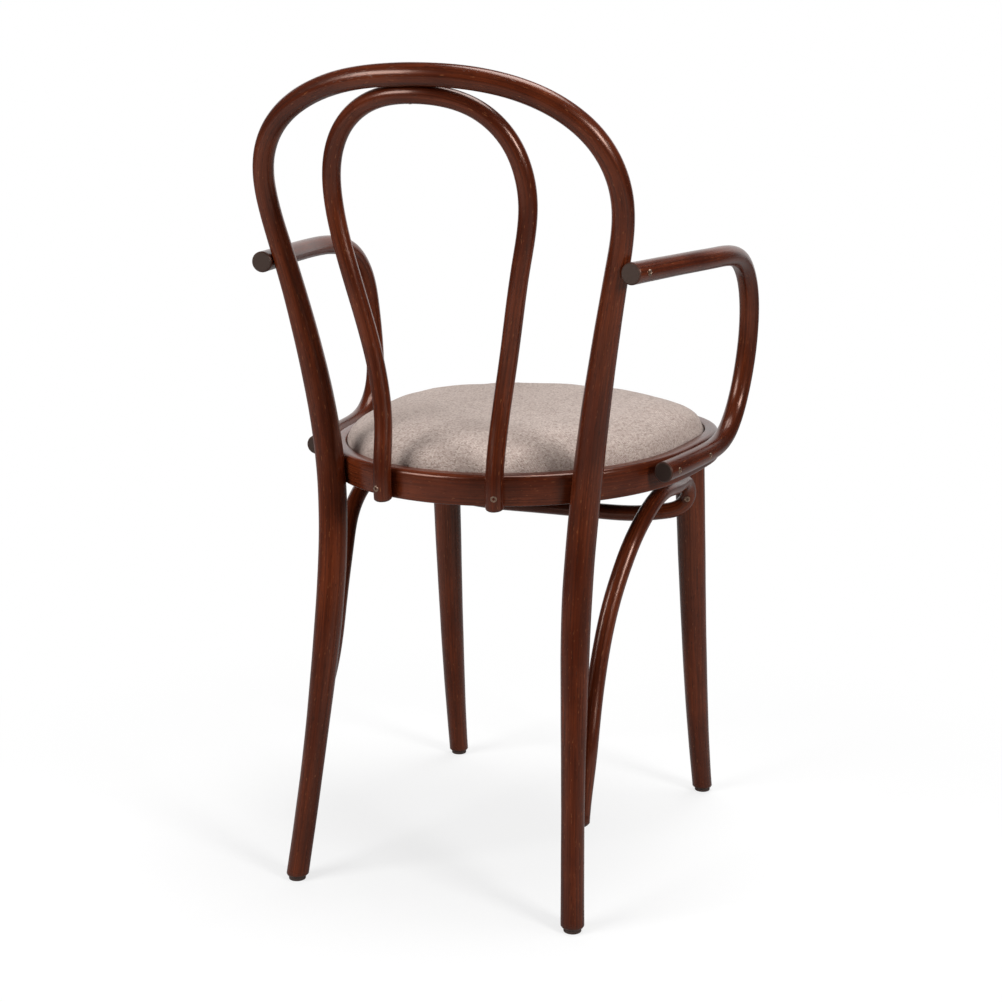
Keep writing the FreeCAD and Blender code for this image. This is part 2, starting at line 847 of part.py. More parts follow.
PIECES = {}
BORES = {}
SCREWS = {
    "hairpin_screws": (hairpin_spots(), "hairpin_screw_length"),
    "arm_hoop_screws": (arm_hoop_spots(), "arm_hoop_screw_length"),
    "arm_seat_screws": (arm_seat_spots(), "arm_seat_screw_length"),
    "brace_front_screws": (brace_front_spots(), "brace_screw_length"),
    "brace_rear_screws": (brace_rear_spots(), "brace_screw_length"),
    "crest_screw": (crest_spots(), "crest_screw_length"),
    "seat_board_screws": (board_spots(), "board_screw_length"),
}


def screws_and_bores():
    """Every group of wood screws, and the bores that they need."""
    for label, (spots, length) in SCREWS.items():
        screws = []
        bores = []
        for number, spot in enumerate(spots):
            screws.append(screw(f"{label}_{number}", spot, length))
            bores.append(screw_bore(f"{label}_bore_{number}", spot, length))
        PIECES[label] = group(label, screws)
        BORES[label] = bores


def bolts_and_washers():
    """Bolts from inside the ring into the rear legs, each with a washer, and their holes."""
    bolts = []
    washers = []
    bores = []
    for number, (point, way) in enumerate(bolt_spots()):
        name = f"rear_leg_bolt_{number}"
        place = facing(point, way)
        head = cylinder(name + "_head", place, "dims.bolt_head_diameter / 2", "dims.bolt_head_height")
        shank = cylinder(name + "_shank", place, "dims.bolt_diameter / 2", "dims.bolt_length")
        bolts.append(joined(name, head, shank))
        seat = point + way * size("bolt_head_height")
        flat = facing(seat, way)
        disc = cylinder(name + "_disc", flat, "dims.washer_diameter / 2", "dims.washer_thickness")
        hole_radius = "dims.bolt_diameter / 2 + dims.bore_gap"
        hole = cylinder(name + "_hole", place, hole_radius, "dims.bolt_length + dims.bore_gap")
        washers.append(cut(f"rear_leg_washer_{number}", disc, [hole]))
        inside = facing(seat - way * size("washer_thickness"), way)
        face_radius = "dims.washer_diameter / 2 + dims.bore_gap"
        spot_face = cylinder(name + "_spot_face", inside, face_radius, "2 * dims.washer_thickness")
        bores.append(joined(name + "_bore", hole, spot_face))
    PIECES["rear_leg_bolts"] = group("rear_leg_bolts", bolts)
    PIECES["rear_leg_washers"] = group("rear_leg_washers", washers)
    BORES["rear_leg_bolts"] = bores


def glides_and_nails():
    """A thin glide under each foot, held by a nail, and the nails' holes."""
    glides = []
    nails = []
    bores = []
    for number, foot in enumerate(foot_spots()):
        name = f"foot_glide_{number}"
        base = Vector(foot.x, foot.y, 0)
        upright = Placement(base, Rotation())
        sunk = Placement(base + Vector(0, 0, size("nail_head_height")), Rotation())
        disc = cylinder(name + "_disc", upright, "dims.glide_diameter / 2", "dims.glide_height")
        rounded = eased("Part::Fillet", name + "_rounded", disc, size("glide_round"),
                        lambda edge: edge.CenterOfMass.z < CLOSE)
        head = cylinder(name + "_nail_head", sunk, "dims.nail_head_diameter / 2", "dims.nail_head_height")
        shank = cylinder(name + "_nail_shank", sunk, "dims.nail_diameter / 2", "dims.nail_length")
        nails.append(joined(f"glide_nail_{number}", head, shank))
        hole_radius = "dims.nail_diameter / 2 + dims.bore_gap"
        hole = cylinder(name + "_hole", sunk, hole_radius, "dims.nail_length + dims.bore_gap")
        well_radius = "dims.nail_head_diameter / 2 + dims.bore_gap"
        well = cylinder(name + "_well", upright, well_radius, "2 * dims.nail_head_height")
        glides.append(cut(name, rounded, [hole, well]))
        bores.append(hole)
    PIECES["foot_glides"] = group("foot_glides", glides)
    PIECES["glide_nails"] = group("glide_nails", nails)
    BORES["rear_nails"] = bores[:2]
    BORES["right_nails"] = bores[2:3]
    BORES["left_nails"] = bores[3:]


def floor_cut():
    """Everything under the soles of the wooden feet."""
    below = doc.addObject("Part::Box", "under_the_feet")
    below.setExpression("Height", "dims.glide_height + dims.nail_length")
    below.Length = 2 * FAR
    below.Width = 2 * FAR
    below.Placement = Placement(Vector(-FAR, -FAR, -size("nail_length")), Rotation())
    return below


screws_and_bores()
bolts_and_washers()
glides_and_nails()
UNDER_FEET = floor_cut()
JOINT_GAP = size("joint_gap")
RING_CLEARED = slab("ring_cleared", -JOINT_GAP, JOINT_GAP, "dims.ring_height + 2 * dims.joint_gap")


def at_sole(edge):
    """Whether an edge goes round the sole of a foot."""
    return abs(edge.CenterOfMass.z - size("glide_height")) < CLOSE


def tip_cut(name, point, way, taper):
    """What a chamfer takes off the end of a rod that starts at a point and runs along way."""
    radius = radius_text(*taper(point.z))
    place = facing(point, way)
    rim = cylinder(name + "_rim", place, f"{radius} + 2 * dims.end_chamfer", "2 * dims.end_chamfer")
    cone = doc.addObject("Part::Cone", name + "_cone")
    cone.setExpression("Radius1", f"{radius} - dims.end_chamfer")
    cone.setExpression("Radius2", f"{radius} + dims.end_chamfer")
    cone.setExpression("Height", "2 * dims.end_chamfer")
    cone.Placement = place
    return cut(name, rim, [cone])


def tip_cuts(name, line, taper):
    """The chamfers at both ends of a rod."""
    start = line.StartPoint
    end = line.EndPoint
    return [
        tip_cut(name + "_first_tip", start, direction_at(line, start), taper),
        tip_cut(name + "_last_tip", end, direction_at(line, end) * -1, taper),
    ]


def back_frame():
    """Both rear legs and the outer hoop, one rod housed against the ring."""
    whole = rod("back_frame_rod", BACK_LINE, back_taper, SEAM_BEHIND)
    standing = cut("back_frame_standing", whole, [UNDER_FEET])
    chamfered = eased("Part::Chamfer", "back_frame_chamfered", standing, size("foot_chamfer"), at_sole)
    housed = cut("back_frame_housed", chamfered, [RING_CLEARED])
    bores = BORES["rear_leg_bolts"] + BORES["rear_nails"] + BORES["crest_screw"]
    bores += BORES["arm_hoop_screws"] + BORES["brace_rear_screws"]
    return cut("back_frame", housed, bores)


def hairpin_loop():
    """The inner loop of the back, its feet housed against the ring."""
    taper = even("hairpin_diameter")
    whole = rod("hairpin_rod", HAIRPIN_LINE, taper, SEAM_ASLANT)
    housed = cut("hairpin_housed", whole, [RING_CLEARED])
    tips = tip_cuts("hairpin", HAIRPIN_LINE, taper)
    return cut("hairpin_loop", housed, tips + BORES["hairpin_screws"] + BORES["crest_screw"])


def arm(name, side):
    """One arm: rail housed against the hoop, front bend, and lower run along the ring."""
    line = bend(arm_points(side))
    taper = even("arm_diameter")
    whole = rod(name + "_rod", line, taper, SEAM_ABOVE)
    hoop = back_at(side, ARM_CROSS_Z)
    way = direction_at(BACK_LINE, hoop)
    start = facing(hoop - way * size("arm_diameter"), way)
    hollow_radius = f"{radius_text(*back_taper(hoop.z))} + dims.joint_gap"
    hollow = cylinder(name + "_hollow", start, hollow_radius, "2 * dims.arm_diameter")
    number = list(SIDES.values()).index(side)
    own = len(ARM_SCREWS)
    bores = BORES["arm_hoop_screws"][number:number + 1]
    bores += BORES["arm_seat_screws"][own * number:own * (number + 1)]
    return cut(name, whole, tip_cuts(name, line, taper) + [hollow] + bores)


def tenon_place(side):
    """Where a front leg's tenon starts, one tenon length under the ring."""
    return facing(front_leg_top(side, size("ring_height") + size("tenon_length")), SEAT_UP)


def front_leg(word, side):
    """One front leg with the round tenon that goes up into the ring."""
    name = f"{word}_front_leg"
    whole = rod(name + "_rod", FRONT_LINES[side], front_taper, SEAM_BESIDE)
    standing = cut(name + "_standing", whole, [UNDER_FEET])
    chamfered = eased("Part::Chamfer", name + "_chamfered", standing, size("foot_chamfer"), at_sole)
    topped = cut(name + "_topped", chamfered, [RING_CLEARED])
    tenon = cylinder(name + "_tenon", tenon_place(side), "dims.tenon_diameter / 2", "2 * dims.tenon_length")
    whole_leg = joined(name + "_joined", topped, tenon)
    return cut(name, whole_leg, BORES[f"{word}_nails"] + BORES["brace_front_screws"])


def seat_ring():
    """The bent ring: rounded rim, a rebate for the padded seat and holes for what it carries."""
    blank = slab("ring_blank", 0, 0, "dims.ring_height")
    rounded = eased("Part::Fillet", "ring_rounded", blank, size("ring_edge_round"),
                    lambda edge: abs(seat_level(edge)) < CLOSE)
    softened = eased("Part::Fillet", "ring_softened", rounded, size("ring_foot_round"),
                     lambda edge: abs(seat_level(edge) + size("ring_height")) < CLOSE)
    above = size("ring_height")
    void = slab("ring_void", size("ring_width"), above, "3 * dims.ring_height")
    rebate = slab("ring_rebate", size("rim_width"), above, "dims.ring_height + dims.rebate_depth")
    hollow = cut("ring_hollow", softened, [void, rebate])
    bores = BORES["hairpin_screws"] + BORES["arm_seat_screws"]
    bores += BORES["rear_leg_bolts"] + BORES["seat_board_screws"]
    for word, side in SIDES.items():
        socket_radius = "dims.tenon_diameter / 2 + dims.bore_gap"
        socket_depth = "2 * dims.tenon_length + dims.joint_gap"
        bores.append(cylinder(f"{word}_socket", tenon_place(side), socket_radius, socket_depth))
    return cut("seat_ring", hollow, bores)


def dome(name, inset, floor, drop):
    """A crowned cushion over the seat: its outline drawn in by inset, its top and edge lowered by drop."""
    block = slab(name + "_block", inset, 2 * size("pad_crown"), f"2 * dims.pad_crown - ({floor})")
    half = size("ring_depth") / 2 - size("rim_width")
    sag = size("pad_crown") - size("pad_edge_height")
    radius = (half**2 + sag**2) / (2 * sag)
    ball = doc.addObject("Part::Sphere", name + "_ball")
    ball.Radius = radius - drop
    ball.Placement = Placement(on_seat(0, 0, size("pad_crown") - radius), SEAT.Rotation)
    crowned = doc.addObject("Part::Common", name + "_crowned")
    crowned.Base = block
    crowned.Tool = ball

    def round_the_top(edge):
        return seat_level(edge) > size("pad_edge_height") / 2 and edge.Length > 2 * size("pad_crown")

    return eased("Part::Fillet", name, crowned, size("pad_edge_round") - drop, round_the_top)


def padded_seat():
    """Board, foam and stretched cover of the drop-in seat, and the cloth under it."""
    outer = size("rim_width") + size("pad_gap")
    cloth = size("cover_thickness")
    slack = size("bore_gap")
    under = -size("rebate_depth")
    outside = dome("seat_cover_outside", outer, under, 0)
    inside = dome("seat_cover_inside", outer + cloth, under + cloth, cloth)
    open_inset = outer + size("cover_turn_in")
    opening = slab("seat_cover_opening", open_inset, under + 2 * cloth, "4 * dims.cover_thickness")
    PIECES["seat_cover"] = cut("seat_cover", outside, [inside, opening] + BORES["seat_board_screws"])
    board_top = under + cloth + slack + size("board_thickness")
    board = slab("seat_board_blank", outer + cloth + slack, board_top, "dims.board_thickness")
    PIECES["seat_board"] = cut("seat_board", board, BORES["seat_board_screws"])
    foam_gap = cloth + size("joint_gap")
    PIECES["seat_foam"] = dome("seat_foam", outer + foam_gap, board_top + slack, foam_gap)
    cloth_inset = size("ring_width") + size("pad_gap")
    PIECES["dust_cloth"] = slab("dust_cloth", cloth_inset, under - slack, "dims.dust_cloth_thickness")


def bridge_brace():
    """The rod that ties all four legs: crossbar, two curls, two arches and two tapered ends."""
    whole = rod("brace_rod", BRACE_LINE, brace_taper, SEAM_BESIDE)
    tips = tip_cuts("brace", BRACE_LINE, brace_taper)
    return cut("bridge_brace", whole, tips + BORES["brace_front_screws"] + BORES["brace_rear_screws"])


PIECES["back_frame"] = back_frame()
PIECES["hairpin_loop"] = hairpin_loop()
PIECES["seat_ring"] = seat_ring()
padded_seat()
for word, direction in SIDES.items():
    PIECES[f"{word}_arm"] = arm(f"{word}_arm", direction)
    PIECES[f"{word}_front_leg"] = front_leg(word, direction)
PIECES["bridge_brace"] = bridge_brace()

for label, piece in PIECES.items():
    piece.Label = label
doc.recompute()

for item in doc.Objects:
    if "Invalid" in item.State or "Error" in item.State:
        raise RuntimeError(f"{item.Label} failed: {item.State}")
for label, piece in PIECES.items():
    if piece.Shape.isNull() or not piece.Shape.isValid() or not piece.Shape.Solids:
        raise RuntimeError(f"{label} is not a valid solid")

os.makedirs("parts", exist_ok=True)
for label, piece in PIECES.items():
    piece.Shape.exportStep(os.path.join("parts", f"{label}.step"))
    print(label, len(piece.Shape.Solids), round(piece.Shape.Volume, 1))
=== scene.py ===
"""Looks of a bentwood armchair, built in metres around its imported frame.

The chair stands on the floor at z = 0 and the sitter faces -Y. Each bent rod is swept again along the
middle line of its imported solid, so that the wood grain follows the bends. The seat pad is shaped by cloth
simulation.
"""

import json
import logging
import math
from dataclasses import dataclass
from enum import Enum
from typing import Iterable, Sequence

import bpy
import numpy as np
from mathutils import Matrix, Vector
from mathutils.bvhtree import BVHTree

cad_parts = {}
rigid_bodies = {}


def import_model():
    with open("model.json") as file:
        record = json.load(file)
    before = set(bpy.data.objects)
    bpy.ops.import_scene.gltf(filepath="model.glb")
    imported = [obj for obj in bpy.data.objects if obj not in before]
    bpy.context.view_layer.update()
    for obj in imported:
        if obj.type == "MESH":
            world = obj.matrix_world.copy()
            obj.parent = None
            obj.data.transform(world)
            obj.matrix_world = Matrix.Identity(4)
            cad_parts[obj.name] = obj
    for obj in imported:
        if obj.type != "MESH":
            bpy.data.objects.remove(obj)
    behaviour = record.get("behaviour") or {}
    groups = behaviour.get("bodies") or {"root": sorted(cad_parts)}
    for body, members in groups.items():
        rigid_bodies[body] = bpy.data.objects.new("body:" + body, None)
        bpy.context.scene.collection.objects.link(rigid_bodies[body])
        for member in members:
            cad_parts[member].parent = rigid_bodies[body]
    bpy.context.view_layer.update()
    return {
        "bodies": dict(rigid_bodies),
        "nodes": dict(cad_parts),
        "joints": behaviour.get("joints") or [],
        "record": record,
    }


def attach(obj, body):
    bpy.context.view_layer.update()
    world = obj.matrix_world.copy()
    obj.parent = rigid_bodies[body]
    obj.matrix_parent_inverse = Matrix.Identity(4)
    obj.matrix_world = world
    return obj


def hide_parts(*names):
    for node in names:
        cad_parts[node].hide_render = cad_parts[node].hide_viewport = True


LOG = logging.getLogger("armchair")
BODY = "root"
GRAIN = "grain"
ENDS = "ends"
WEAVE = "weave"
SHADER = "Principled BSDF"
FULL_TURN = 2 * math.pi
MILLIMETRE = 0.001
TINY = 1e-9
WHITE = (1.0, 1.0, 1.0)

Triple = tuple[float, float, float]
Colour = Triple
Span = tuple[float, float]
Faces = list[tuple[int, ...]]
Direction = Vector | np.ndarray
Socket = bpy.types.NodeSocket
Value = Socket | float | Sequence[float]


class Slot(Enum):
    """Material slots of the record, named for each new piece."""

    BEECH = "beech"
    CLOTH = "seat_cloth"
    DUST_CLOTH = "dust_cloth"
    STEEL = "steel"


class End(Enum):
    """The end of a rod from which its line is followed."""

    LOWEST = "lowest"
    LOWEST_RIGHT = "lowest on the chair's right"
    REARMOST = "rearmost"


class NodeTree:
    """Builder of the nodes of a material or a world."""

    def __init__(self, owner: bpy.types.Material | bpy.types.World) -> None:
        """Turns the owner's nodes on.

        Args:
            owner: The material or world.
        """
        owner.use_nodes = True
        self.owner = owner
        self.nodes = owner.node_tree.nodes
        self.links = owner.node_tree.links

    def add(self, kind: str, inputs: dict | None = None, **settings: object) -> bpy.types.Node:
        """Adds a node.

        Args:
            kind: The node's type name without its leading "ShaderNode".
            inputs: Values or output sockets by input name or number.
            settings: Properties of the node.

        Returns:
            The new node.
        """
        node = self.nodes.new("ShaderNode" + kind)
        for name, value in settings.items():
            setattr(node, name, value)
        for name, value in (inputs or {}).items():
            self.feed(node.inputs[name], value)
        return node

    def feed(self, socket: Socket, value: Value) -> None:
        """Links an output socket to an input, or sets the input's own value.

        Args:
            socket: The input.
            value: An output socket, a number, a vector or a colour.
        """
        if isinstance(value, Socket):
            self.links.new(value, socket)
        elif socket.type == "RGBA" and len(value) == 3:
            socket.default_value = (*value, 1)
        else:
            socket.default_value = value

    def place(self) -> Socket:
        """The place in the object's own frame."""
        return self.add("TexCoord").outputs["Object"]

    def math(self, operation: str, first: Value, second: Value = 0.0) -> Socket:
        """The result of a Math node."""
        return self.add("Math", {0: first, 1: second}, operation=operation).outputs[0]

    def scaled(self, value: Value, factor: Value, start: Value = 0.0) -> Socket:
        """The value times the factor, plus the start."""
        return self.add("Math", {0: value, 1: factor, 2: start}, operation="MULTIPLY_ADD").outputs[0]

    def stretch(self, vector: Value, scale: Triple) -> Socket:
        """Coordinates scaled along each axis."""
        return self.add("VectorMath", {0: vector, 1: scale}, operation="MULTIPLY").outputs["Vector"]

    def noise(self, vector: Value, scale: Triple, detail: float = 3.0, rough: float = 0.55) -> Socket:
        """Noise of a scale along each axis, with so many finer layers of that strength."""
        inputs = {"Vector": self.stretch(vector, scale), "Scale": 1.0, "Detail": detail, "Roughness": rough}
        return self.add("TexNoise", inputs).outputs["Fac"]

    def ramp(self, value: Value, span: Span, least: float = 0.0) -> Socket:
        """A smooth step over a span of values, from the least to 1."""
        inputs = {"Value": value, "From Min": span[0], "From Max": span[1], "To Min": least}
        return self.add("MapRange", inputs, interpolation_type="SMOOTHSTEP").outputs["Result"]

    def mix(self, share: Value, first: Value, second: Value) -> Socket:
        """A mix of two colours with that share of the second."""
        inputs = {"Factor": share, "A": first, "B": second}
        return self.add("Mix", inputs, data_type="RGBA").outputs["Result"]

    def mark(self, colour: Value, value: Value, tint: Colour, span: Span, share: float = 1.0) -> Socket:
        """A colour with marks of a tint, which come in over a span of values up to that share."""
        return self.mix(self.scaled(self.ramp(value, span), share), colour, tint)

    def bump(self, height: Value, distance: float, strength: float, **below: Socket) -> Socket:
        """A normal bumped by a height, so many metres deep at 1, over the Normal below where given."""
        inputs = {"Height": height, "Distance": distance, "Strength": strength, **below}
        return self.add("Bump", inputs).outputs["Normal"]

    def shade(self, **inputs: Value) -> None:
        """Feeds the material's shader, whose inputs are named with underscores for spaces."""
        for name, value in inputs.items():
            self.feed(self.nodes[SHADER].inputs[name.replace("_", " ")], value)

    def show(self, output: str, share: Value, first: bpy.types.Node, second: bpy.types.Node) -> None:
        """Shows a mix of two shaders with that share of the second."""
        mixed = self.add("MixShader", {0: share, 1: first.outputs[0], 2: second.outputs[0]})
        self.links.new(mixed.outputs[0], self.nodes[output].inputs["Surface"])


class Finish:
    """A finish that a piece can wear."""

    def material(self, name: str) -> bpy.types.Material:
        """Makes a material of this finish.

        Args:
            name: The material's name.

        Returns:
            The material.
        """
        tree = NodeTree(bpy.data.materials.new(name))
        self.lay(tree)
        return tree.owner

    def lay(self, tree: NodeTree) -> None:
        """Lays the finish's nodes into a tree."""
        raise NotImplementedError


@dataclass(frozen=True)
class StainedBeech(Finish):
    """Steam-bent beech under a dark red-brown stain and a satin lacquer.

    It reads the grain attribute of the mesh, a place in the plank, and the ends attribute, 1 on end grain.
    """

    deep: Colour = (0.019, 0.0034, 0.0013)
    body: Colour = (0.066, 0.0105, 0.0031)
    warm: Colour = (0.13, 0.0245, 0.0072)
    sheen: Colour = (1.0, 0.66, 0.54)
    fleck: Colour = (0.3, 0.105, 0.04)
    end_grain: Colour = (0.036, 0.0255, 0.0215)
    growth_rings: float = 260.0  # in a metre
    pores: Span = (0.38, 0.3)

    def lay(self, tree: NodeTree) -> None:
        """Lays tone, fibre, growth rings, flecks, pores and end grain.

        Args:
            tree: The material's nodes.
        """
        grain = tree.add("Attribute", attribute_name=GRAIN).outputs["Vector"]
        ends = tree.add("Attribute", attribute_name=ENDS).outputs["Fac"]
        tone = tree.noise(grain, scale=(28.0, 28.0, 12.6), detail=4.0)
        fibre = tree.noise(grain, scale=(520.0, 520.0, 9.0), detail=4.0, rough=0.6)
        speck = tree.noise(grain, scale=(850.0, 850.0, 120.0), detail=2.0, rough=0.5)
        sway = tree.noise(grain, scale=(60.0, 60.0, 3.0), detail=2.0)
        smudge = tree.noise(grain, scale=(30.0, 30.0, 12.0))
        across = tree.add("SeparateXYZ", {0: grain}).outputs["X"]
        rings = tree.math("FRACT", tree.scaled(across, self.growth_rings, start=sway))
        colour = tree.mark(self.body, tone, self.warm, span=(0.3, 0.72))
        colour = tree.mark(colour, fibre, self.deep, span=(0.35, 0.68), share=0.55)
        colour = tree.mark(colour, rings, self.deep, span=(0.55, 1.0), share=0.22)
        colour = tree.mark(colour, speck, self.fleck, span=(0.66, 0.74), share=0.5)
        colour = tree.mark(colour, speck, self.deep, span=self.pores, share=0.6)
        roughness = tree.scaled(smudge, 0.14, start=0.17)
        fibres = tree.bump(fibre, distance=0.00003, strength=0.3)
        pores = tree.bump(tree.ramp(speck, self.pores), distance=-0.0001, strength=0.5, Normal=fibres)
        tree.shade(Base_Color=tree.mix(ends, colour, self.end_grain), Normal=pores)
        tree.shade(Roughness=tree.scaled(ends, 0.2, start=roughness), Coat_Weight=0.03, Coat_Roughness=0.1)
        tree.shade(Specular_IOR_Level=0.46, Specular_Tint=self.sheen)


@dataclass(frozen=True)
class MelangeCloth(Finish):
    """Oatmeal upholstery cloth of flecked yarns in a plain weave.

    It reads the weave attribute of the mesh, the cloth's own flat coordinates.
    """

    oat: Colour = (0.426, 0.335, 0.294)
    pale: Colour = (0.53, 0.438, 0.388)
    brown: Colour = (0.16, 0.112, 0.088)
    thread: float = 0.0018
    sway: float = 0.0016

    def lay(self, tree: NodeTree) -> None:
        """Lays swaying threads that differ at each crossing, slubs, soiled patches, and painted shade in the
        gaps between threads.

        Args:
            tree: The material's nodes.
        """
        flat = tree.add("Attribute", attribute_name=WEAVE).outputs["Vector"]
        drift = tree.add("TexNoise", {"Vector": flat, "Scale": 90.0, "Detail": 2.0}).outputs["Color"]
        swayed = tree.stretch(drift, (self.sway, self.sway, 0.0))
        spot = tree.add("VectorMath", {0: flat, 1: swayed}, operation="ADD").outputs["Vector"]
        counted = tree.stretch(spot, (1 / self.thread, 1 / self.thread, 0.0))
        crossing = tree.add("VectorMath", {0: counted}, operation="FLOOR").outputs["Vector"]
        chance = tree.add("TexWhiteNoise", {"Vector": crossing}, noise_dimensions="2D").outputs["Value"]
        split = tree.add("SeparateXYZ", {0: counted}).outputs
        warp, weft = (tree.math("SINE", tree.scaled(split[axis], math.pi)) for axis in "XY")
        over = tree.scaled(warp, weft)
        ridge = tree.math("ABSOLUTE", over)
        slub = tree.noise(spot, scale=(430.0, 640.0, 0.0), rough=0.6)
        patch = tree.noise(flat, scale=(26.0, 26.0, 0.0))
        colour = tree.mark(self.oat, chance, self.pale, span=(0.55, 0.95))
        colour = tree.mark(colour, chance, self.brown, span=(0.24, 0.08), share=0.45)
        colour = tree.mark(colour, slub, self.brown, span=(0.47, 0.3), share=0.4)
        colour = tree.mark(colour, slub, self.pale, span=(0.56, 0.74), share=0.5)
        colour = tree.mark(colour, patch, self.brown, span=(0.42, 0.75), share=0.12)
        # Painted shade: brown darkens the gaps between threads, where the weave dips.
        colour = tree.mark(colour, ridge, self.brown, span=(0.3, 0.0), share=0.25)
        threads = tree.bump(tree.scaled(over, 0.25, start=ridge), distance=0.0005, strength=0.8)
        normal = tree.bump(slub, distance=0.0003, strength=0.5, Normal=threads)
        tree.shade(Base_Color=colour, Roughness=tree.scaled(ridge, -0.1, start=0.97), Normal=normal)
        tree.shade(Sheen_Weight=0.2, Sheen_Roughness=0.5, Specular_IOR_Level=0.15)


@dataclass(frozen=True)
class DulledScrew(Finish):
    """Browned steel of screws and bolts, tarnished in patches."""

    metal: Colour = (0.36, 0.24, 0.17)
    tarnish: Colour = (0.1, 0.06, 0.045)

    def lay(self, tree: NodeTree) -> None:
        """Lays tarnish and fine turning marks.

        Args:
            tree: The material's nodes.
        """
        place = tree.place()
        worn = tree.ramp(tree.noise(place, scale=(900.0, 900.0, 900.0), detail=4.0), span=(0.35, 0.7))
        turned = tree.noise(place, scale=(300.0, 300.0, 2400.0), detail=2.0)
        tree.shade(Base_Color=tree.mix(worn, self.metal, self.tarnish), Metallic=0.85)
        tree.shade(Roughness=tree.scaled(worn, 0.2, start=0.32))
        tree.shade(Normal=tree.bump(turned, distance=0.00005, strength=0.5))


@dataclass(frozen=True)
class MouldedGlide(Finish):
    """Dark moulded plastic, scuffed pale where it meets the floor."""

    body: Colour = (0.032, 0.0135, 0.009)
    scuff: Colour = (0.13, 0.085, 0.066)
    scuffed: Span = (0.0012, 0.0)  # heights between which the scuffs come in

    def lay(self, tree: NodeTree) -> None:
        """Lays a speckled skin and scratches near the floor.

        Args:
            tree: The material's nodes.
        """
        place = tree.place()
        low = tree.ramp(tree.add("SeparateXYZ", {0: place}).outputs["Z"], self.scuffed)
        scratch = tree.ramp(tree.noise(place, scale=(900.0, 260.0, 260.0), detail=4.0), span=(0.42, 0.7))
        speck = tree.noise(place, scale=(2600.0, 2600.0, 2600.0), detail=2.0)
        colour = tree.mix(tree.scaled(speck, 0.25), self.body, self.scuff)
        tree.shade(Base_Color=tree.mix(tree.scaled(low, scratch), colour, self.scuff))
        tree.shade(Roughness=tree.scaled(speck, 0.2, start=0.45))
        tree.shade(Normal=tree.bump(speck, distance=0.00008, strength=0.5))


@dataclass(frozen=True)
class SpunCloth(Finish):
    """Thin black spun-bonded cloth under the seat."""

    fibre: Colour = (0.018, 0.018, 0.019)
    bond: Colour = (0.045, 0.045, 0.047)
    dot_pitch: float = 0.0022

    def lay(self, tree: NodeTree) -> None:
        """Lays fibres, dimpled with bonding dots.

        Args:
            tree: The material's nodes.
        """
        place = tree.place()
        cells = tree.add("TexVoronoi", {"Vector": place, "Scale": 1 / self.dot_pitch, "Randomness": 0.2})
        dots = tree.ramp(cells.outputs["Distance"], span=(0.34, 0.24))
        hair = tree.noise(place, scale=(500.0, 2400.0, 500.0), detail=4.0)
        tree.shade(Base_Color=tree.mix(dots, tree.mix(hair, self.fibre, self.bond), self.bond))
        tree.shade(Roughness=tree.scaled(dots, -0.35, start=0.95))
        tree.shade(Normal=tree.bump(tree.math("SUBTRACT", hair, dots), distance=0.0002, strength=0.6))


@dataclass(frozen=True)
class BirchPly(Finish):
    """Raw plywood: pale face grain and darker glue lines on the edge."""

    face: Colour = (0.58, 0.41, 0.24)
    vein: Colour = (0.4, 0.25, 0.13)
    layer: float = 0.0014

    def lay(self, tree: NodeTree) -> None:
        """Lays veins along Y and a glue line in each layer.

        Args:
            tree: The material's nodes.
        """
        place = tree.place()
        grain = tree.noise(place, scale=(160.0, 7.0, 160.0), detail=5.0, rough=0.6)
        height = tree.add("SeparateXYZ", {0: place}).outputs["Z"]
        layers = tree.math("FRACT", tree.math("DIVIDE", height, self.layer))
        colour = tree.mark(self.face, grain, self.vein, span=(0.35, 0.7))
        colour = tree.mark(colour, layers, self.vein, span=(0.82, 0.95), share=0.3)
        tree.shade(Base_Color=colour, Roughness=0.75)
        tree.shade(Normal=tree.bump(grain, distance=0.0002, strength=0.4))


@dataclass(frozen=True)
class WhiteFloor(Finish):
    """White studio floor that keeps the chair's shadow and fades to plain white further out."""

    seen: Colour = (0.9, 0.9, 0.9)
    bounced: Colour = (0.45, 0.45, 0.45)
    fade: Span = (0.2, 0.85)  # distances from the middle over which it fades
    least: float = 0.7  # share of plain white in the middle

    def lay(self, tree: NodeTree) -> None:
        """Lays a matt floor under a white glow that only the camera sees.

        Args:
            tree: The material's nodes.
        """
        seen = tree.add("LightPath").outputs["Is Camera Ray"]
        tree.shade(Base_Color=tree.mix(seen, self.bounced, self.seen), Roughness=0.9, Specular_IOR_Level=0.1)
        away = tree.add("VectorMath", {0: tree.place()}, operation="LENGTH").outputs["Value"]
        glow = tree.add("Emission", {"Color": WHITE, "Strength": 1.0})
        share = tree.scaled(tree.ramp(away, self.fade, self.least), seen)
        tree.show("Material Output", share, tree.nodes[SHADER], glow)


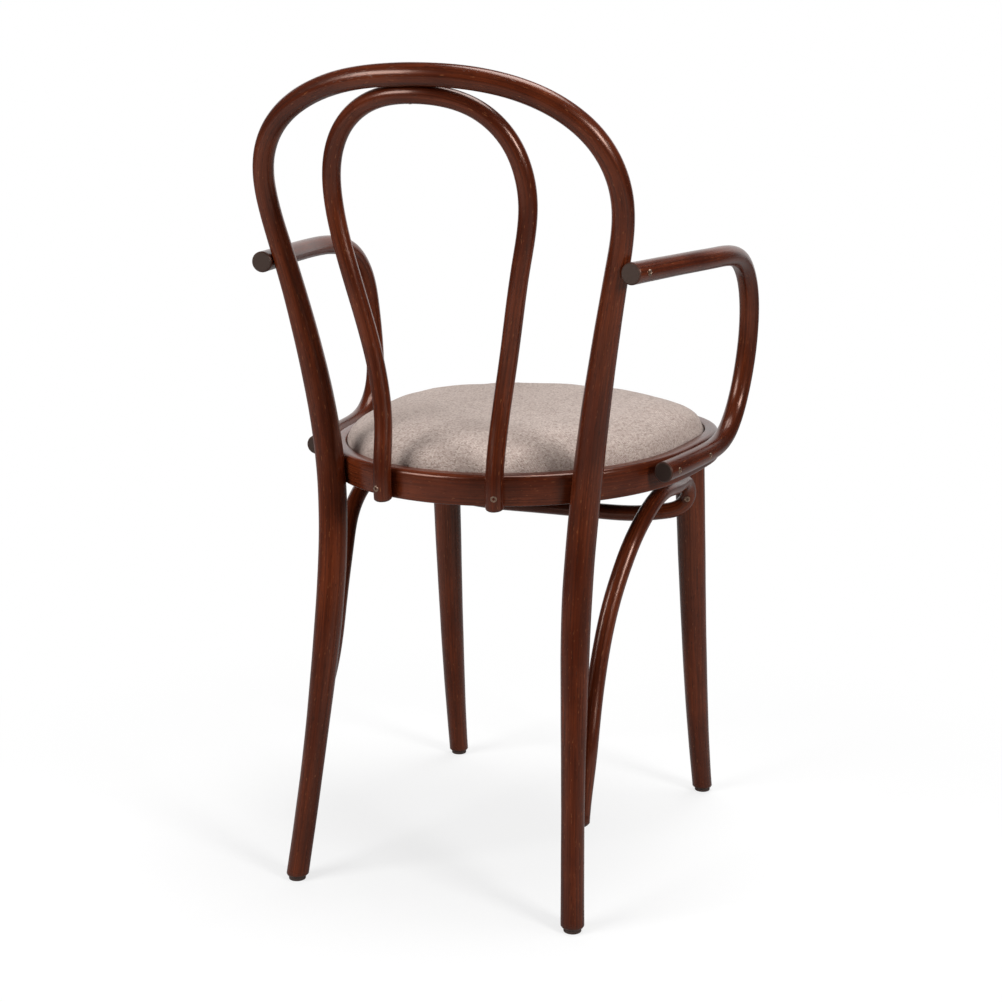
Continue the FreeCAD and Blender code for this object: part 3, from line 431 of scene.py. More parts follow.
class Piece:
    """One new mesh, at the frame's origin."""

    def __init__(self, name: str, points: Iterable[Sequence[float]], faces: Faces) -> None:
        """Makes the mesh object.

        Args:
            name: The piece's name.
            points: Vertex places.
            faces: Vertex numbers of each face.
        """
        data = bpy.data.meshes.new(name)
        data.from_pydata([tuple(point) for point in points], [], faces)
        data.update()
        self.thing = bpy.data.objects.new(name, data)
        bpy.context.scene.collection.objects.link(self.thing)

    def smooth(self, angle: float = 180.0) -> None:
        """Shades the piece smooth, except over edges sharper than so many degrees."""
        self.thing.data.shade_smooth()
        self.thing.data.set_sharp_from_angle(angle=math.radians(angle))

    def store(self, name: str, values: Sequence) -> None:
        """Stores a number or a vector at each vertex.

        Args:
            name: The attribute's name.
            values: One number or vector for each vertex.
        """
        values = np.asarray(values, np.float32)
        kind, field = ("FLOAT", "value") if values.ndim == 1 else ("FLOAT_VECTOR", "vector")
        self.thing.data.attributes.new(name, kind, "POINT").data.foreach_set(field, values.ravel())

    def bake(self) -> None:
        """Replaces the mesh by what the modifiers make of it."""
        graph = bpy.context.evaluated_depsgraph_get()
        shaped = bpy.data.meshes.new_from_object(self.thing.evaluated_get(graph))
        self.thing.modifiers.clear()
        old = self.thing.data
        self.thing.data = shaped
        bpy.data.meshes.remove(old)

    def settle(self, slot: Slot, material: bpy.types.Material, *nodes: str) -> None:
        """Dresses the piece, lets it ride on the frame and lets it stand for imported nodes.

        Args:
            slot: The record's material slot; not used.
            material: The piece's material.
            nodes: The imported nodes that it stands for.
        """
        self.thing.data.materials.clear()
        self.thing.data.materials.append(material)
        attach(self.thing, BODY)
        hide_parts(*nodes)
        LOG.info("%s: %d faces", self.thing.name, len(self.thing.data.polygons))


def node_points(node: bpy.types.Object) -> np.ndarray:
    """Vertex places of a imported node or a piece, one row for each."""
    return np.array([vertex.co for vertex in node.data.vertices], float)


def node_faces(node: bpy.types.Object) -> BVHTree:
    """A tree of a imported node's faces to cast rays at."""
    polygons = [tuple(polygon.vertices) for polygon in node.data.polygons]
    return BVHTree.FromPolygons([vertex.co for vertex in node.data.vertices], polygons)


def eased(values: np.ndarray, width: float, closed: bool) -> np.ndarray:
    """Values along a line, smoothed with a bell of that width.

    Args:
        values: One row for each place on the line.
        width: The bell's width in places.
        closed: Whether the line is a loop.

    Returns:
        The smoothed values.
    """
    reach = math.ceil(3 * width)  # where the bell has faded
    bell = np.exp(-0.5 * (np.arange(-reach, reach + 1) / width) ** 2)
    bell /= bell.sum()
    beyond = {"mode": "wrap"} if closed else {"mode": "reflect", "reflect_type": "odd"}
    padded = np.pad(values.reshape(len(values), -1), ((reach, reach), (0, 0)), **beyond)
    columns = [np.convolve(column, bell, "valid") for column in padded.T]
    return np.stack(columns, axis=1).reshape(values.shape)


def crosswise(way: np.ndarray) -> tuple[np.ndarray, np.ndarray]:
    """Two unit directions square to a way and to each other."""
    side = np.array(Vector(way).orthogonal().normalized())
    return side, np.cross(way, side)


def spokes(side: Direction, other: Direction, count: int) -> list[Direction]:
    """Directions all round, turning from one direction towards another."""
    turns = [FULL_TURN * number / count for number in range(count)]
    return [side * math.cos(turn) + other * math.sin(turn) for turn in turns]


def bands(rings: int, count: int, first: int = 0, closed: bool = False) -> Faces:
    """Faces from each ring of points to the next one.

    Args:
        rings: Number of rings.
        count: Number of points in a ring.
        first: Number of the first point.
        closed: Whether the last ring meets the first.

    Returns:
        Vertex numbers of each face.
    """
    faces: Faces = []
    for ring in range(rings if closed else rings - 1):
        low = first + ring * count
        high = first + (ring + 1) % rings * count
        for number in range(count):
            after = (number + 1) % count
            faces.append((low + number, low + after, high + after, high + number))
    return faces


def tube(rings: int, count: int, first: int = 0) -> Faces:
    """Faces of a tube with closed ends.

    Args:
        rings: Number of rings.
        count: Number of points in a ring.
        first: Number of the first point.

    Returns:
        Vertex numbers of each face.
    """
    last = first + (rings - 1) * count
    caps = [tuple(range(first, first + count))[::-1], tuple(range(last, last + count))]
    return bands(rings, count, first) + caps


def fan(hub: int, first: int, count: int) -> Faces:
    """Faces from a hub to the ring round it."""
    return [(hub, first + (number + 1) % count, first + number) for number in range(count)]


def turned_over(faces: Faces) -> Faces:
    """The same faces, looking the other way."""
    return [(face[0], *face[:0:-1]) for face in faces]


@dataclass
class RodLine:
    """The middle line of a bent rod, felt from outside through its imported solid."""

    node: bpy.types.Object
    start: Vector  # middle of the end where the line begins
    heading: Vector  # the way that it goes from there
    radius: float  # the rod's rough radius there
    step: float = 0.003  # distance between two places on the line
    feelers: int = 20  # rays round each place
    reach: float = 1.45  # how far out the rays start, in radii
    facing: float = 0.6  # least cosine between a ray and the skin that it meets
    enough: float = 0.6  # least share of rays that meet the skin
    fits: int = 2  # how often the circle is fitted, each time without the strays
    stray: float = 0.0002  # how far a spot may always lie off the circle
    stray_share: float = 3.0  # how far off it may lie, in medians
    shrunk: float = 0.85  # share of the last radius under which the rod has ended
    unsure: int = 2  # places left out before the far end, whose edge misleads the rays
    end_ring: float = 0.7  # where rays feel for the end's face, in radii
    end_reach: float = 1.5  # how far they go, in radii
    end_facing: float = 0.8  # least cosine between the end's face and the line
    line_ease: float = 1.2  # smoothing of the line, in places
    girth_ease: float = 4.0  # smoothing of the radius, in places

    def feel(
        self, tree: BVHTree, point: Vector, heading: Vector, radius: float
    ) -> tuple[Vector, float] | None:
        """Fits a circle to the rod's skin round a place.

        Args:
            tree: The node's faces.
            point: A place near the middle.
            heading: The way that the rod goes there.
            radius: The radius to expect.

        Returns:
            The middle and the radius, or None past the rod's end.
        """
        side = heading.orthogonal().normalized()
        other = heading.cross(side)
        spots = []
        for out in spokes(side, other, self.feelers):
            far = point + out * radius * self.reach
            spot, normal, _, _ = tree.ray_cast(far, -out, radius * self.reach)
            if spot is not None and normal.dot(out) > self.facing:
                spots.append(((spot - point).dot(side), (spot - point).dot(other)))
        if len(spots) < self.enough * self.feelers:
            return None
        flat = np.array(spots)
        for _ in range(self.fits):
            rows = np.column_stack([2 * flat, np.ones(len(flat))])
            fit = np.linalg.lstsq(rows, (flat**2).sum(axis=1), rcond=None)[0]
            size = math.sqrt(fit[2] + fit[0] ** 2 + fit[1] ** 2)
            off = np.abs(np.linalg.norm(flat - fit[:2], axis=1) - size)
            flat = flat[off <= max(np.median(off) * self.stray_share, self.stray)]
        return point + side * fit[0] + other * fit[1], size

    def follow(self) -> tuple[np.ndarray, np.ndarray, list[np.ndarray]]:
        """Walks from one end of the rod to the other.

        Returns:
            Places along the middle line, ends included, the radius at each, and the end faces' normals.
        """
        tree = node_faces(self.node)
        centres: list[Vector] = []
        sizes: list[float] = []
        heading = self.heading.normalized()
        radius = self.radius
        point = self.start + heading * 2 * self.step
        while True:
            felt = self.feel(tree, point, heading, radius)
            if felt is None or felt[1] < self.shrunk * radius:
                break
            if centres:
                ahead = (felt[0] - centres[-1]).normalized()
                felt = self.feel(tree, centres[-1] + ahead * self.step, ahead, radius) or felt
                heading = (felt[0] - centres[-1]).normalized()
            centres.append(felt[0])
            sizes.append(felt[1])
            radius = felt[1]
            point = felt[0] + heading * self.step
        points = np.array([tuple(centre) for centre in centres[:-self.unsure]])
        sizes = sizes[:-self.unsure]
        first, face_before = self.end_of(tree, points[0], points[0] - points[1], sizes[0])
        last, face_after = self.end_of(tree, points[-1], points[-1] - points[-2], sizes[-1])
        line = np.concatenate([[first], eased(points, self.line_ease, False), [last]])
        girth = np.pad(eased(np.array(sizes), self.girth_ease, False), 1, mode="edge")
        return line, girth, [face_before, face_after]

    def end_of(
        self, tree: BVHTree, point: np.ndarray, way: np.ndarray, radius: float
    ) -> tuple[np.ndarray, np.ndarray]:
        """The middle and the normal of the rod's end face beyond its last place.

        Args:
            tree: The node's faces.
            point: The last place on the line.
            way: The way out of the rod there.
            radius: The rod's radius there.

        Returns:
            The end's middle and normal.
        """
        ahead = Vector(way).normalized()
        side = ahead.orthogonal().normalized()
        depths, normals = [], []
        for out in spokes(side, ahead.cross(side), self.feelers):
            near = Vector(point) + out * self.end_ring * radius
            spot, normal, _, depth = tree.ray_cast(near, ahead, self.end_reach * radius)
            if spot is not None and abs(normal.dot(ahead)) > self.end_facing:
                depths.append(depth)
                normals.append(normal * math.copysign(1, normal.dot(ahead)))
        face = np.mean(normals, axis=0)
        return point + np.array(ahead) * np.mean(depths), face / np.linalg.norm(face)


@dataclass
class BentRod:
    """One bent beech rod, swept round along its middle line."""

    name: str
    chamfer: float  # size of the chamfer at its ends
    seed: float  # where the grain starts in its plank
    sides: int = 40  # faces round the rod
    tremor: float = 0.006  # how much the hand-worked thickness varies, as a share
    slow_wave: float = 41.0  # radians of that in a metre
    quick_wave: float = 97.0  # radians of its finer part in a metre
    quick_share: float = 0.6  # strength of the finer part
    quick_start: float = 2.1  # where the finer part starts, in seeds
    squared: float = 1.5  # how far from an end the rings turn to its face, in radii
    sharp: float = 32.0  # edges over this many degrees stay sharp

    def build(self, line: RodLine) -> Piece:
        """Sweeps the rod.

        Args:
            line: The middle line.

        Returns:
            The piece, with its grain and ends stored at each vertex.
        """
        middle, girth, end_faces = line.follow()
        forward = np.gradient(middle, axis=0)
        forward /= np.linalg.norm(forward, axis=1)[:, None]
        length = np.concatenate([[0], np.cumsum(np.linalg.norm(np.diff(middle, axis=0), axis=1))])
        slow = np.sin(length * self.slow_wave + self.seed)
        quick = np.sin(length * self.quick_wave + self.quick_start * self.seed)
        girth = girth * (1 + self.tremor * (slow + self.quick_share * quick) / (1 + self.quick_share))
        across = [np.array(Vector(forward[0]).orthogonal().normalized())]
        for way in forward[1:]:
            turned = across[-1] - way * (across[-1] @ way)
            across.append(turned / np.linalg.norm(turned))
        upward = np.cross(forward, across)
        along, share, mark = np.array(self.stations(length, girth)).T
        columns = np.column_stack([middle, across, upward, girth]).T
        placed = np.column_stack([np.interp(along, length, column) for column in columns])
        centre, side, other, radius = np.split(placed[:, None], (3, 6, 9), axis=-1)
        radius = radius[..., 0] * share[:, None]
        turns = FULL_TURN * np.arange(self.sides) / self.sides
        x = radius * np.cos(turns)
        y = radius * np.sin(turns)
        off = side * x[..., None] + other * y[..., None]
        cuts = [(0.0, -forward[0], end_faces[0]), (length[-1], forward[-1], end_faces[1])]
        for where, way, face in cuts:
            near = np.maximum(0.0, 1 - np.abs(along - where) / (self.squared * girth[0]))
            off = off - way * (near[:, None] * (off @ face) / (way @ face))[..., None]
        piece = Piece(self.name, (centre + off).reshape(-1, 3), tube(len(along), self.sides))
        piece.smooth(self.sharp)
        distance = np.repeat(along, self.sides)
        piece.store(GRAIN, np.column_stack([x.ravel() + self.seed, y.ravel(), distance]))
        piece.store(ENDS, np.repeat(mark, self.sides))
        return piece

    def stations(self, length: np.ndarray, girth: np.ndarray) -> list[Triple]:
        """Rings along the rod: where, how much of the radius, and how dark with end grain.

        Args:
            length: Distance of each place from the start.
            girth: Radius at each place.

        Returns:
            The rings in order.
        """
        # The caps' own rings take the place of the two at each end.
        inner = [(along, 1.0, 0.0) for along in length[2:-2]]
        tail = [(length[-1] - along, share, mark) for along, share, mark in self.cap(girth[-1])]
        return self.cap(girth[0]) + inner + tail[::-1]

    def cap(self, radius: float) -> list[Triple]:
        """Rings of one end, from the middle of its face over the chamfer to where its stain has faded.

        Args:
            radius: The rod's radius there.

        Returns:
            The rings, as distances from the end.
        """
        cut = self.chamfer / radius
        face = [(0.0, share * (1 - cut), 1.0) for share in (0.02, 0.35, 0.7, 0.94, 1.0)]
        # Distance in chamfers, share of the cut that is left, and darkness.
        edge = [(0.45, 0.42, 0.7), (1.0, 0.0, 0.35), (1.6, 0.0, 0.15), (3.0, 0.0, 0.0)]
        return face + [(self.chamfer * far, 1 - left * cut, mark) for far, left, mark in edge]


@dataclass
class WoodenFrame:
    """All bent rods of the chair: back, inner loop, arms, front legs and brace."""

    nodes: dict[str, bpy.types.Object]
    rear_foot: float = 0.0117  # radius of the rear legs at the floor
    loop_foot: float = 0.0092  # radius of the inner loop at its feet
    arm_end: float = 0.0105  # radius of the arms at their rear ends
    front_foot: float = 0.0112  # radius of the front legs at the floor
    brace_end: float = 0.0065  # radius of the brace at its ends
    foot_chamfer: float = 0.0024
    rod_chamfer: float = 0.0015
    brace_taper: float = 0.004
    end_depth: float = 2 * MILLIMETRE  # how deep the vertices of an end face may lie
    plank_step: float = 0.37  # how far apart the rods' grains start

    def line(self, node: str, end: End, radius: float) -> RodLine:
        """A rod's line from one of its ends, going inwards.

        Args:
            node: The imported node.
            end: The end.
            radius: The rod's radius there.

        Returns:
            The line.
        """
        skin = node_points(self.nodes[node])
        if end is End.LOWEST_RIGHT:
            skin = skin[skin[:, 0] < 0]
        out = np.array((0.0, 1.0, 0.0) if end is End.REARMOST else (0.0, 0.0, -1.0))
        reach = skin @ out
        face = skin[reach > reach.max() - self.end_depth]
        start = Vector((face.min(axis=0) + face.max(axis=0)) / 2)
        return RodLine(self.nodes[node], start, Vector(-out), radius)

    def build(self, wood: bpy.types.Material) -> None:
        """Builds and dresses every rod.

        Args:
            wood: The stained beech.
        """
        rods = [
            ("bent", "back_frame", End.LOWEST_RIGHT, self.rear_foot, self.foot_chamfer),
            ("bent", "hairpin_loop", End.LOWEST_RIGHT, self.loop_foot, self.rod_chamfer),
            ("bent", "right_arm", End.REARMOST, self.arm_end, self.rod_chamfer),
            ("bent", "left_arm", End.REARMOST, self.arm_end, self.rod_chamfer),
            ("turned", "right_front_leg", End.LOWEST, self.front_foot, self.foot_chamfer),
            ("turned", "left_front_leg", End.LOWEST, self.front_foot, self.foot_chamfer),
            ("bent", "bridge_brace", End.LOWEST_RIGHT, self.brace_end, self.brace_taper),
        ]
        for number, (made, node, end, radius, chamfer) in enumerate(rods, start=1):
            rod = BentRod(f"{made}_{node}", chamfer, seed=self.plank_step * number)
            rod.build(self.line(node, end, radius)).settle(Slot.BEECH, wood, node)


@dataclass
class SeatPlane:
    """The tilted plane of the seat and the ring's outline in it."""

    origin: np.ndarray  # middle of the ring's top
    right: np.ndarray  # direction of local X, along the chair's X
    back: np.ndarray  # direction of local Y, towards the back
    up: np.ndarray  # the plane's normal
    outline: np.ndarray  # places on the ring's outer face, in local X and Y
    outward: np.ndarray  # the outline's normal at each place
    along: np.ndarray  # distance round the ring at each place

    @classmethod
    def measure(
        cls, ring: bpy.types.Object, board: bpy.types.Object, places: int = 420, depth: float = 0.012,
        reach: float = 0.4, ease: float = 2.0,
    ) -> "SeatPlane":
        """Finds the plane from the flat seat board, and the outline by rays at the ring.

        Args:
            ring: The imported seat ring.
            board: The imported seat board.
            places: Number of places round the outline.
            depth: How far under the ring's top the rays go.
            reach: How far out they start.
            ease: Smoothing of the outline, in places.

        Returns:
            The plane.
        """
        flat = node_points(board)
        up = np.linalg.svd(flat - flat.mean(axis=0), full_matrices=False)[2][2]
        up = up * np.sign(up[2])
        right = np.array((1.0, 0.0, 0.0))
        back = np.cross(up, right)
        skin = node_points(ring)
        middle = (skin.min(axis=0) + skin.max(axis=0)) / 2
        origin = middle + up * ((skin @ up).max() - middle @ up)
        tree = node_faces(ring)
        half_way = origin - up * depth
        spots = []
        for out in spokes(right, back, places):
            spot = tree.ray_cast(Vector(half_way + out * reach), Vector(-out), reach)[0]
            spots.append(np.array(spot) - half_way)
        outline = eased(np.array(spots) @ np.column_stack([right, back]), ease, True)
        ahead = np.roll(outline, -1, axis=0) - np.roll(outline, 1, axis=0)
        outward = np.column_stack([ahead[:, 1], -ahead[:, 0]])
        outward = eased(outward / np.linalg.norm(outward, axis=1)[:, None], ease, True)
        steps = np.linalg.norm(np.roll(outline, -1, axis=0) - outline, axis=1)
        along = np.concatenate([[0], np.cumsum(steps)[:-1]])
        return cls(origin, right, back, up, outline, outward, along)

    def place(self, local: np.ndarray, height: float) -> np.ndarray:
        """A point in the chair's frame, from local X and Y and the height over the ring's top."""
        return self.origin + self.right * local[0] + self.back * local[1] + self.up * height

    def disc(self, edge: np.ndarray, shares: np.ndarray, heights: np.ndarray) -> list[np.ndarray]:
        """Points inside an edge, ring by ring from the middle outwards.

        Args:
            edge: Places on the edge, in local X and Y.
            shares: How far out each ring lies, from 0 in the middle to 1 at the edge.
            heights: Height over the ring's top, a row for each ring and a column for each place.

        Returns:
            The points in order.
        """
        middle = edge.mean(axis=0)
        return [
            self.place(middle + (spot - middle) * share, height)
            for share, row in zip(shares, heights)
            for spot, height in zip(edge, row)
        ]


@dataclass
class SeatRing:
    """The bent ring: a moulded section swept round the seat's outline."""

    plane: SeatPlane
    rim_width: float = 0.015  # the visible rim
    rebate_depth: float = 0.012  # how deep the pad sits
    width: float = 0.036
    height: float = 0.031
    top_round: float = 0.005  # rounding of the rim's outer edge
    small_round: float = 0.0018  # rounding of the other edges
    inner_round: float = 0.0004  # rounding of the rebate's corner
    arc_steps: int = 6  # steps in a rounded edge
    seed: float = 2.9  # where the grain starts in its plank
    sharp: float = 50.0  # edges over this many degrees stay sharp

    def section(self) -> list[tuple[float, float]]:
        """The ring's section as inset from the outer face and height over the top, outer face first.

        Returns:
            The points in order round the section.
        """
        corners = [
            (0.0, -self.height, self.small_round),
            (0.0, 0.0, self.top_round),
            (self.rim_width, 0.0, self.small_round),
            (self.rim_width, -self.rebate_depth, self.inner_round),
            (self.width, -self.rebate_depth, self.small_round),
            (self.width, -self.height, self.small_round),
        ]
        points: list[tuple[float, float]] = []
        for number, (inset, height, radius) in enumerate(corners):
            here = np.array((inset, height))
            before = np.array(corners[number - 1][:2]) - here
            after = np.array(corners[(number + 1) % len(corners)][:2]) - here
            before /= np.linalg.norm(before)
            after /= np.linalg.norm(after)
            centre = here + (before + after) * radius
            for step in range(self.arc_steps + 1):
                turn = FULL_TURN / 4 * step / self.arc_steps
                point = centre - after * radius * math.cos(turn) - before * radius * math.sin(turn)
                points.append((float(point[0]), float(point[1])))
        return points

    def build(self, wood: bpy.types.Material) -> None:
        """Sweeps and dresses the ring.

        Args:
            wood: The stained beech.
        """
        section = self.section()
        points, grain = [], []
        for spot, out, along in zip(self.plane.outline, self.plane.outward, self.plane.along):
            for inset, height in section:
                points.append(self.plane.place(spot - out * inset, height))
                grain.append((inset + self.seed, height, along))
        faces = bands(len(self.plane.outline), len(section), closed=True)
        piece = Piece("bent_seat_ring", points, faces)
        piece.smooth(self.sharp)
        piece.store(GRAIN, grain)
        piece.store(ENDS, np.zeros(len(points)))
        piece.settle(Slot.BEECH, wood, "seat_ring")


@dataclass
class SeatPad:
    """The padded drop-in seat, sewn a little small and blown up as cloth."""

    plane: SeatPlane
    inset: float = 0.0154  # from the ring's outer face to the pad's widest edge
    tuck: float = 0.0002  # how far the edge goes in under the bulge where it meets the ring
    floor: float = -0.0118  # height of the underside over the ring's top
    crown: float = 0.031  # height of the middle over the ring's top
    rise: float = 0.105  # distance from the edge over which the pad rises
    boxiness: float = 2.7  # power of the edge's round; 2 is an arc and more is squarer
    slack: float = 0.002  # how much lower the pad starts
    rings: int = 34  # from the middle to the edge
    crowding: float = 1.7  # power that draws the rings towards the edge
    walls: int = 3  # rings down to the underside
    voxel: float = 0.005  # mesh size for the simulation
    pressure: float = 4.0  # air pressure in the cloth
    frames: int = 20  # simulated frames
    most: float = 0.002  # the furthest that a point may swell
    held_below: float = 0.001  # points lower than this over the ring's top are held
    soft_above: float = 0.012  # height over the ring's top from which the cloth evens out freely
    even_factor: float = 0.5  # strength of one round of evening out
    even_rounds: int = 14
    shoulder: float = 0.5  # share of the crown under which the cloth counts as falling

    def height_at(self, inward: np.ndarray) -> np.ndarray:
        """Height over the ring's top at a distance in from the pad's edge."""
        short = np.maximum(0.0, 1 - inward / self.rise)
        return (self.crown - self.slack) * (1 - short**self.boxiness) ** (1 / self.boxiness)

    def form(self) -> Piece:
        """The pad's starting form: a boxy crown over a tucked edge and a flat underside.

        Returns:
            A closed mesh.
        """
        edge = self.plane.outline - self.plane.outward * self.inset
        tucked = edge - self.plane.outward * self.tuck
        middle = edge.mean(axis=0)
        reach = np.linalg.norm(edge - middle, axis=1)
        shares = 1 - (1 - np.arange(1, self.rings + 1) / self.rings) ** self.crowding
        heights = self.height_at(np.outer(1 - shares, reach))
        points = [self.plane.place(middle, self.height_at(reach.min()))]
        points += self.plane.disc(edge, shares, heights)
        for wall in range(1, self.walls + 1):
            points += [self.plane.place(spot, self.floor * wall / self.walls) for spot in tucked]
        count = len(edge)
        last = len(points) - count
        points.append(self.plane.place(middle, self.floor))
        faces = turned_over(fan(0, 1, count) + bands(self.rings + self.walls, count, first=1))
        return Piece("padded_seat", points, faces + fan(last + count, last, count))

    def weave(self, piece: Piece) -> None:
        """Stores the cloth's flat coordinates, which run on over the edge by the length of its fall.

        Args:
            piece: The finished pad.
        """
        local = node_points(piece.thing) - self.plane.origin
        flat = np.column_stack([local @ self.plane.right, local @ self.plane.back])
        bearings = np.arctan2(self.plane.outline[:, 1], self.plane.outline[:, 0])
        turns = np.arctan2(flat[:, 1], flat[:, 0])
        order = np.argsort(bearings)
        nearest = order[np.searchsorted(bearings[order], turns) % len(order)]
        fall = np.maximum(0, self.shoulder * self.crown - local @ self.plane.up)
        flat += self.plane.outward[nearest] * fall[:, None]
        piece.store(WEAVE, np.column_stack([flat, np.zeros(len(flat))]))

    def swell(self, piece: Piece, held: str) -> None:
        """Blows the pad up as cloth, and holds each point to the furthest swelling.

        Args:
            piece: The evenly meshed pad.
            held: Name of the group of vertices that stay.
        """
        rest = node_points(piece.thing)
        cloth = piece.thing.modifiers.new("swell", "CLOTH")
        cloth.settings.use_pressure = True
        cloth.settings.uniform_pressure_force = self.pressure
        cloth.settings.vertex_group_mass = held
        cloth.settings.effector_weights.gravity = 0
        cloth.point_cache.frame_start = 1
        cloth.point_cache.frame_end = self.frames
        for frame in range(1, self.frames + 1):
            bpy.context.scene.frame_set(frame)
        piece.bake()
        bpy.context.scene.frame_set(1)
        moved = node_points(piece.thing) - rest
        reach = np.linalg.norm(moved, axis=1)
        share = np.minimum(1, self.most / np.maximum(reach, TINY))
        LOG.info("pad swelled by up to %.1f mm", reach.max() / MILLIMETRE)
        piece.thing.data.vertices.foreach_set("co", (rest + moved * share[:, None]).ravel())
        piece.thing.data.update()

    def simulate(self, piece: Piece) -> None:
        """Remeshes the pad finely, swells it and evens it out.

        Args:
            piece: The pad.
        """
        thing = piece.thing
        remesh = thing.modifiers.new("even_mesh", "REMESH")
        remesh.mode = "VOXEL"
        remesh.voxel_size = self.voxel
        piece.bake()
        height = (node_points(thing) - self.plane.origin) @ self.plane.up
        held = thing.vertex_groups.new(name="held")
        held.add([int(number) for number in np.nonzero(height < self.held_below)[0]], 1.0, "REPLACE")
        self.swell(piece, held.name)
        free = thing.vertex_groups.new(name="free")
        for number, weight in enumerate(np.clip(height / self.soft_above, 0, 1)):
            free.add([number], float(weight), "REPLACE")
        even = thing.modifiers.new("even_out", "SMOOTH")
        even.factor = self.even_factor
        even.iterations = self.even_rounds
        even.vertex_group = free.name
        finer = thing.modifiers.new("finer", "SUBSURF")
        finer.levels = 1
        finer.render_levels = 1
        piece.bake()

    def build(self, cloth: bpy.types.Material) -> None:
        """Builds and dresses the pad.

        Args:
            cloth: The upholstery cloth.
        """
        piece = self.form()
        self.simulate(piece)
        self.weave(piece)
        piece.smooth()
        piece.settle(Slot.CLOTH, cloth, "seat_cover", "seat_foam")


@dataclass
class DustSheet:
    """The black cloth stretched under the seat, a little slack in the middle."""

    plane: SeatPlane
    inset: float = 0.0364  # from the ring's outer face to the cloth's edge
    height: float = -0.0125  # over the ring's top
    sag: float = 0.0025  # how far it hangs in the middle
    rings: int = 14  # from the middle to the edge
    ripple: float = 0.0003  # height of the ripples along the edge
    ripples: int = 26  # their number
    ripple_power: int = 6  # how quickly they fade from the edge

    def build(self, cloth: bpy.types.Material) -> None:
        """Builds and dresses the cloth.

        Args:
            cloth: The spun cloth.
        """
        edge = self.plane.outline - self.plane.outward * self.inset
        count = len(edge)
        shares = np.arange(1, self.rings + 1) / self.rings
        waves = self.ripple * np.sin(self.ripples * FULL_TURN * np.arange(count) / count)
        drops = self.sag * (1 - shares[:, None] ** 2) + np.outer(shares**self.ripple_power, waves)
        points = [self.plane.place(edge.mean(axis=0), self.height - self.sag)]
        points += self.plane.disc(edge, shares, self.height - drops)
        piece = Piece("stretched_dust_cloth", points, fan(0, 1, count) + bands(self.rings, count, first=1))
        piece.smooth()
        piece.settle(Slot.DUST_CLOTH, cloth, "dust_cloth")


